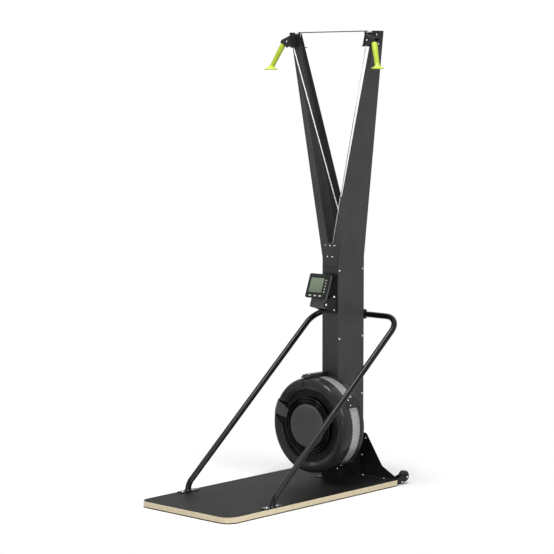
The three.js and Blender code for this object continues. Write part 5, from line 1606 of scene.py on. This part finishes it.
# Each ring is a share of the radius, a height in millimetres, and 1 where it has six corners.
SCREW_RINGS = [
    (1.0, 0.0, 0),
    (0.98, 0.9, 0),
    (0.82, 1.8, 0),
    (0.5, 2.2, 0),
    (0.46, 2.1, 1),
    (0.46, 0.6, 1),
]
SCREW_SIDES = 24


def screw(place, facing, radius=5.0):
    """A domed head with a socket: a six-cornered ring is r cos 30 / cos(w mod 60 - 30)."""
    angle = np.arange(SCREW_SIDES) / SCREW_SIDES * 2 * math.pi
    six = np.cos(math.pi / 6) / np.cos((angle % (math.pi / 3)) - math.pi / 6)
    rings = []
    for share, height, hexed in SCREW_RINGS:
        r = radius * share * (six if hexed else 1.0)
        level = np.full(SCREW_SIDES, height)
        rings.append(np.stack([r * np.cos(angle), r * np.sin(angle), level], -1))
    points, quads, caps = grid(np.stack(rings))
    facing = np.asarray(facing, float) / np.linalg.norm(facing)
    side = np.cross(facing, (0.3, 0.2, 0.93))
    side /= np.linalg.norm(side)
    turn = np.stack([side, np.cross(facing, side), facing])
    return outwards(np.asarray(place, float) + points @ turn, quads, caps)


# %% [markdown]
# The screws sit where the photograph shows them, and on the hidden side where the same sheet
# needs them. Each could be an object of its own, turned by hand. Here the direction in which a
# sheet faces is a vector, and the head is turned to it. Those of one area are joined in one
# piece, so that the list of pieces stays short.

# %% Screws on the straps and the column

FORWARDS, UP = (0, -1, 0), (0, 0, 1)
strap_screws, column_screws = [], []
for degrees, front, radius in ((96, -306.0, 243.8), (32, -255.0, 233.3), (-53, -262.0, 233.3)):
    w = math.radians(degrees)
    out, along = (math.cos(w), 0.0, math.sin(w)), np.array([math.sin(w), 0.0, -math.cos(w)])
    middle = AXLE + radius * np.array(out) + (0, front, 0)
    strap_screws += [screw(middle + along * shift, out, 3.4) for shift in (-14.0, 14.0)]
for side, sign in SIDES:
    aside = (sign, 0, 0)
    for y in (-157.0, 11.0):
        column_screws += [screw((sign * 50.0, y, z), aside, 4.4) for z in (420, 700, 1026)]
    column_screws += [screw((sign * 53.3, y, 170), aside) for y in (-120.0, -30.0)]
for x, z in ((-28, 1144), (0, 1144), (28, 1144), (-15, 1091), (15, 1091)):
    column_screws.append(screw((x, -169.8, z), FORWARDS, 3.4))
piece("strap_screws", strap_screws, "frame", ZINC_SCREW)
piece("column_screws", column_screws, "frame", ZINC_SCREW)
print("screws on the straps and the column:", len(strap_screws) + len(column_screws))

# %% [markdown]
# The base is held by larger heads: in the wings of its brackets, in the foot plates of the tubes
# and in the forks of the wheels. They could be one piece with those of the column, but each lot
# stays with the part that it holds, so that it can be found and changed by itself.

# %% Screws at the base

base_screws = []
for side, sign in SIDES:
    aside = (sign, 0, 0)
    base_screws += [screw((sign * x, -8.0, z), FORWARDS, 4.4) for x, z in ((89, 208), (67, 124))]
    base_screws += [screw((sign * x, -26.0, BOARD_TOP + 3.3), UP, 4.4) for x in (90, 220)]
    base_screws += [screw((sign * 266, y, PLATE_HIGH), UP) for y in (-893, -824)]
    base_screws += [screw((sign * 284.6, y, z), aside, 4.4) for y, z in ((33, 14), (72, 33))]
piece("base_screws", base_screws, "frame", ZINC_SCREW)
print("screws at the base:", len(base_screws))

# %% [markdown]
# A thin black plate is laid on the column behind the monitor's bracket, and makes the column
# black there. It is flat, so it is cut from an outline, with its upper corners rounder than its lower
# ones.

# %% Plate behind the monitor

black_plate = eased([(-40, 903), (45, 903), (45, 1013), (-40, 1013)], [1, 1, 8, 8], True, 6)
black_plate = slab(black_plate, -170.2, -167.1, "xz", 0.5)
piece("black_plate_on_column", [black_plate], "frame", BLACK_COAT)
print("plate behind the monitor %.0f mm high" % np.ptp(black_plate[0][:, 2]))

# %% [markdown]
# The monitor turns on two larger bolts, and its bracket is held by four small ones. Each housing
# on an arm shows a screw in front and two at its side. Bolt heads of another form could be drawn
# for the larger ones, but seen from here only their size differs, so the same head is made wider.

# %% Screws at the monitor and the arm tops

monitor_bolts, top_screws = [], []
for side, sign in SIDES:
    monitor_bolts.append(screw((sign * 46.6, -250, 871), (sign, 0, 0), 6.0))
for side, sign in SIDES:
    aside = (sign, 0, 0)
    monitor_bolts += [screw((sign * 43.6, -188, z), aside, 4.0) for z in (840, 903)]
    top_screws.append(screw((sign * 250, -201.0, 2109), FORWARDS, 3.8))
    top_screws.append(screw((sign * 266, -150.0, 2134), aside, 3.6))
    top_screws.append(screw((sign * 257.6, -126.0, 2092), aside, 3.6))
piece("monitor_bolts", monitor_bolts, "frame", ZINC_SCREW)
piece("top_screws", top_screws, "frame", ZINC_SCREW)
print("screws at the monitor and the arm tops:", len(monitor_bolts) + len(top_screws))

# %% [markdown]
# The studio floor is pale and fades into a white sky. A curved backdrop could do that, but would
# show its bend from other sides. A flat floor whose own colour turns to plain white with the
# distance looks the same from everywhere, and keeps the soft shadow under the board.

# %% Floor

FADE_START, FADE_END = 0.72, 1.3
FLOOR_REACH, FLOOR_DROP = 9.0, 0.0005


def studio_floor(name):
    """White floor: a diffuse surface near the object, plain white beyond, mixed by distance."""
    material = bpy.data.materials.new(name)
    material.use_nodes = True
    tree = material.node_tree
    tree.nodes.clear()
    place = add(tree, "TexCoord").outputs["Object"]
    flat = add(tree, "VectorMath", {0: place}, {1: (1.0, 1.0, 0.0)}, operation="MULTIPLY")
    distance = add(tree, "VectorMath", {0: flat.outputs[0]}, operation="LENGTH").outputs["Value"]
    span = {"From Min": FADE_START, "From Max": FADE_END}
    fade = add(tree, "MapRange", {"Value": distance}, span, interpolation_type="SMOOTHSTEP")
    seen = add(tree, "LightPath")
    either = {0: seen.outputs["Is Camera Ray"], 1: seen.outputs["Is Glossy Ray"]}
    either = add(tree, "Math", either, operation="MAXIMUM")
    factor = {0: fade.outputs["Result"], 1: either.outputs[0]}
    factor = add(tree, "Math", factor, operation="MULTIPLY").outputs[0]
    matte = add(tree, "BsdfDiffuse", values={"Color": (0.93, 0.93, 0.93, 1.0)}).outputs["BSDF"]
    white = add(tree, "Emission", values={"Color": (1.0, 1.0, 1.0, 1.0), "Strength": 1.0})
    mix = add(tree, "MixShader", {"Fac": factor, 1: matte, 2: white.outputs["Emission"]})
    add(tree, "OutputMaterial", {"Surface": mix.outputs["Shader"]})
    return material


corners = [(-1, -1), (1, -1), (1, 1), (-1, 1)]
corners = [(FLOOR_REACH * x, FLOOR_REACH * y, -FLOOR_DROP) for x, y in corners]
floor_mesh = bpy.data.meshes.new("studio_floor")
floor_mesh.from_pydata(corners, [], [(0, 1, 2, 3)])
floor_mesh.materials.append(studio_floor("studio_floor"))
floor = bpy.data.objects.new("studio_floor", floor_mesh)
bpy.context.scene.collection.objects.link(floor)
print("floor %.0f m wide" % (2 * FLOOR_REACH))

# %% [markdown]
# The world is white where the camera, gloss or glass looks at it, and only a soft grey light
# elsewhere. One white world would flatten every shape and wash the blacks out.

# %% Sky


def white_sky(strength):
    """The world is white for camera, gloss and glass, and a soft grey light for the rest."""
    world = bpy.data.worlds.new("studio_sky")
    bpy.context.scene.world = world
    world.use_nodes = True
    tree = world.node_tree
    tree.nodes.clear()
    seen = add(tree, "LightPath")
    plain, bright = (
        add(tree, "Background", values={"Color": (1.0, 1.0, 1.0, 1.0), "Strength": amount})
        for amount in (strength, 1.0)
    )
    mirrored = {0: seen.outputs["Is Glossy Ray"], 1: seen.outputs["Is Transmission Ray"]}
    either = add(tree, "Math", mirrored, operation="MAXIMUM")
    looked = {0: seen.outputs["Is Camera Ray"], 1: either.outputs[0]}
    shown = add(tree, "Math", looked, operation="MAXIMUM").outputs[0]
    skies = {1: plain.outputs["Background"], 2: bright.outputs["Background"]}
    mix = add(tree, "MixShader", {"Fac": shown, **skies})
    add(tree, "OutputWorld", {"Surface": mix.outputs["Shader"]})


SKY_LIGHT = 0.22
white_sky(SKY_LIGHT)
print("light of the sky on the surfaces:", SKY_LIGHT)

# %% [markdown]
# One broad lamp above gives the soft top light, one at the right brightens the column's side, and
# two weaker ones fill the front and the left. A sun would give one hard shadow. These lamps are
# wide enough for soft ones, and their watts keep each colour about as it is written.

# %% Lamps


def lamp(name, place, aim, size, watts):
    """A square area light at place that faces aim."""
    data = bpy.data.lights.new(name, "AREA")
    data.size = size
    data.energy = watts
    made = bpy.data.objects.new(name, data)
    bpy.context.scene.collection.objects.link(made)
    made.location = place
    way = np.array(aim) - np.array(place)
    made.rotation_euler = (
        math.atan2(np.hypot(way[0], way[1]), -way[2]),
        0.0,
        math.atan2(-way[0], way[1]),
    )


# Each lamp is its name, its place, what it faces, its width in metres and its watts.
LAMPS = [
    ("key_light", (2.0, -4.6, 0.9), (0, 0, 0.9), 1.6, 55),
    ("right_light", (4.8, -0.4, 3.0), (0, 0, 1.2), 1.6, 120),
    ("left_light", (-3.8, -2.6, 2.6), (0, 0, 1.0), 1.2, 20),
    ("top_light", (0.2, -0.4, 5.2), (0, 0, 0), 1.6, 230),
]
for values in LAMPS:
    lamp(*values)
print("lamps:", len(LAMPS))

# %% [markdown]
# The camera stands where the photograph was taken from: far to the user's right and in front,
# near eye height, with a long lens that looks slightly down. A guess by eye drifts at the far end
# of the board, so the place, the turn and the lens were fitted to the board's corners and the
# column's edges.

# %% Camera

CAMERA_PLACE = (6138.64, -7142.43, 1903.36)
CAMERA_DOWN, CAMERA_TURN = 5.5903, 42.9107
PICTURE = 554
LENS_PIXELS = 1962.39
SENSOR = 36.0
camera_data = bpy.data.cameras.new("camera")
camera = bpy.data.objects.new("camera", camera_data)
bpy.context.scene.collection.objects.link(camera)
bpy.context.scene.camera = camera
camera.location = layout(CAMERA_PLACE)
camera.rotation_euler = (math.radians(90 - CAMERA_DOWN), 0.0, math.radians(CAMERA_TURN))
camera_data.sensor_width = SENSOR
camera_data.lens = SENSOR * LENS_PIXELS / PICTURE
camera_data.clip_end = 60.0
bpy.context.scene.view_settings.view_transform = "Standard"
print("lens of %.1f mm" % camera_data.lens)
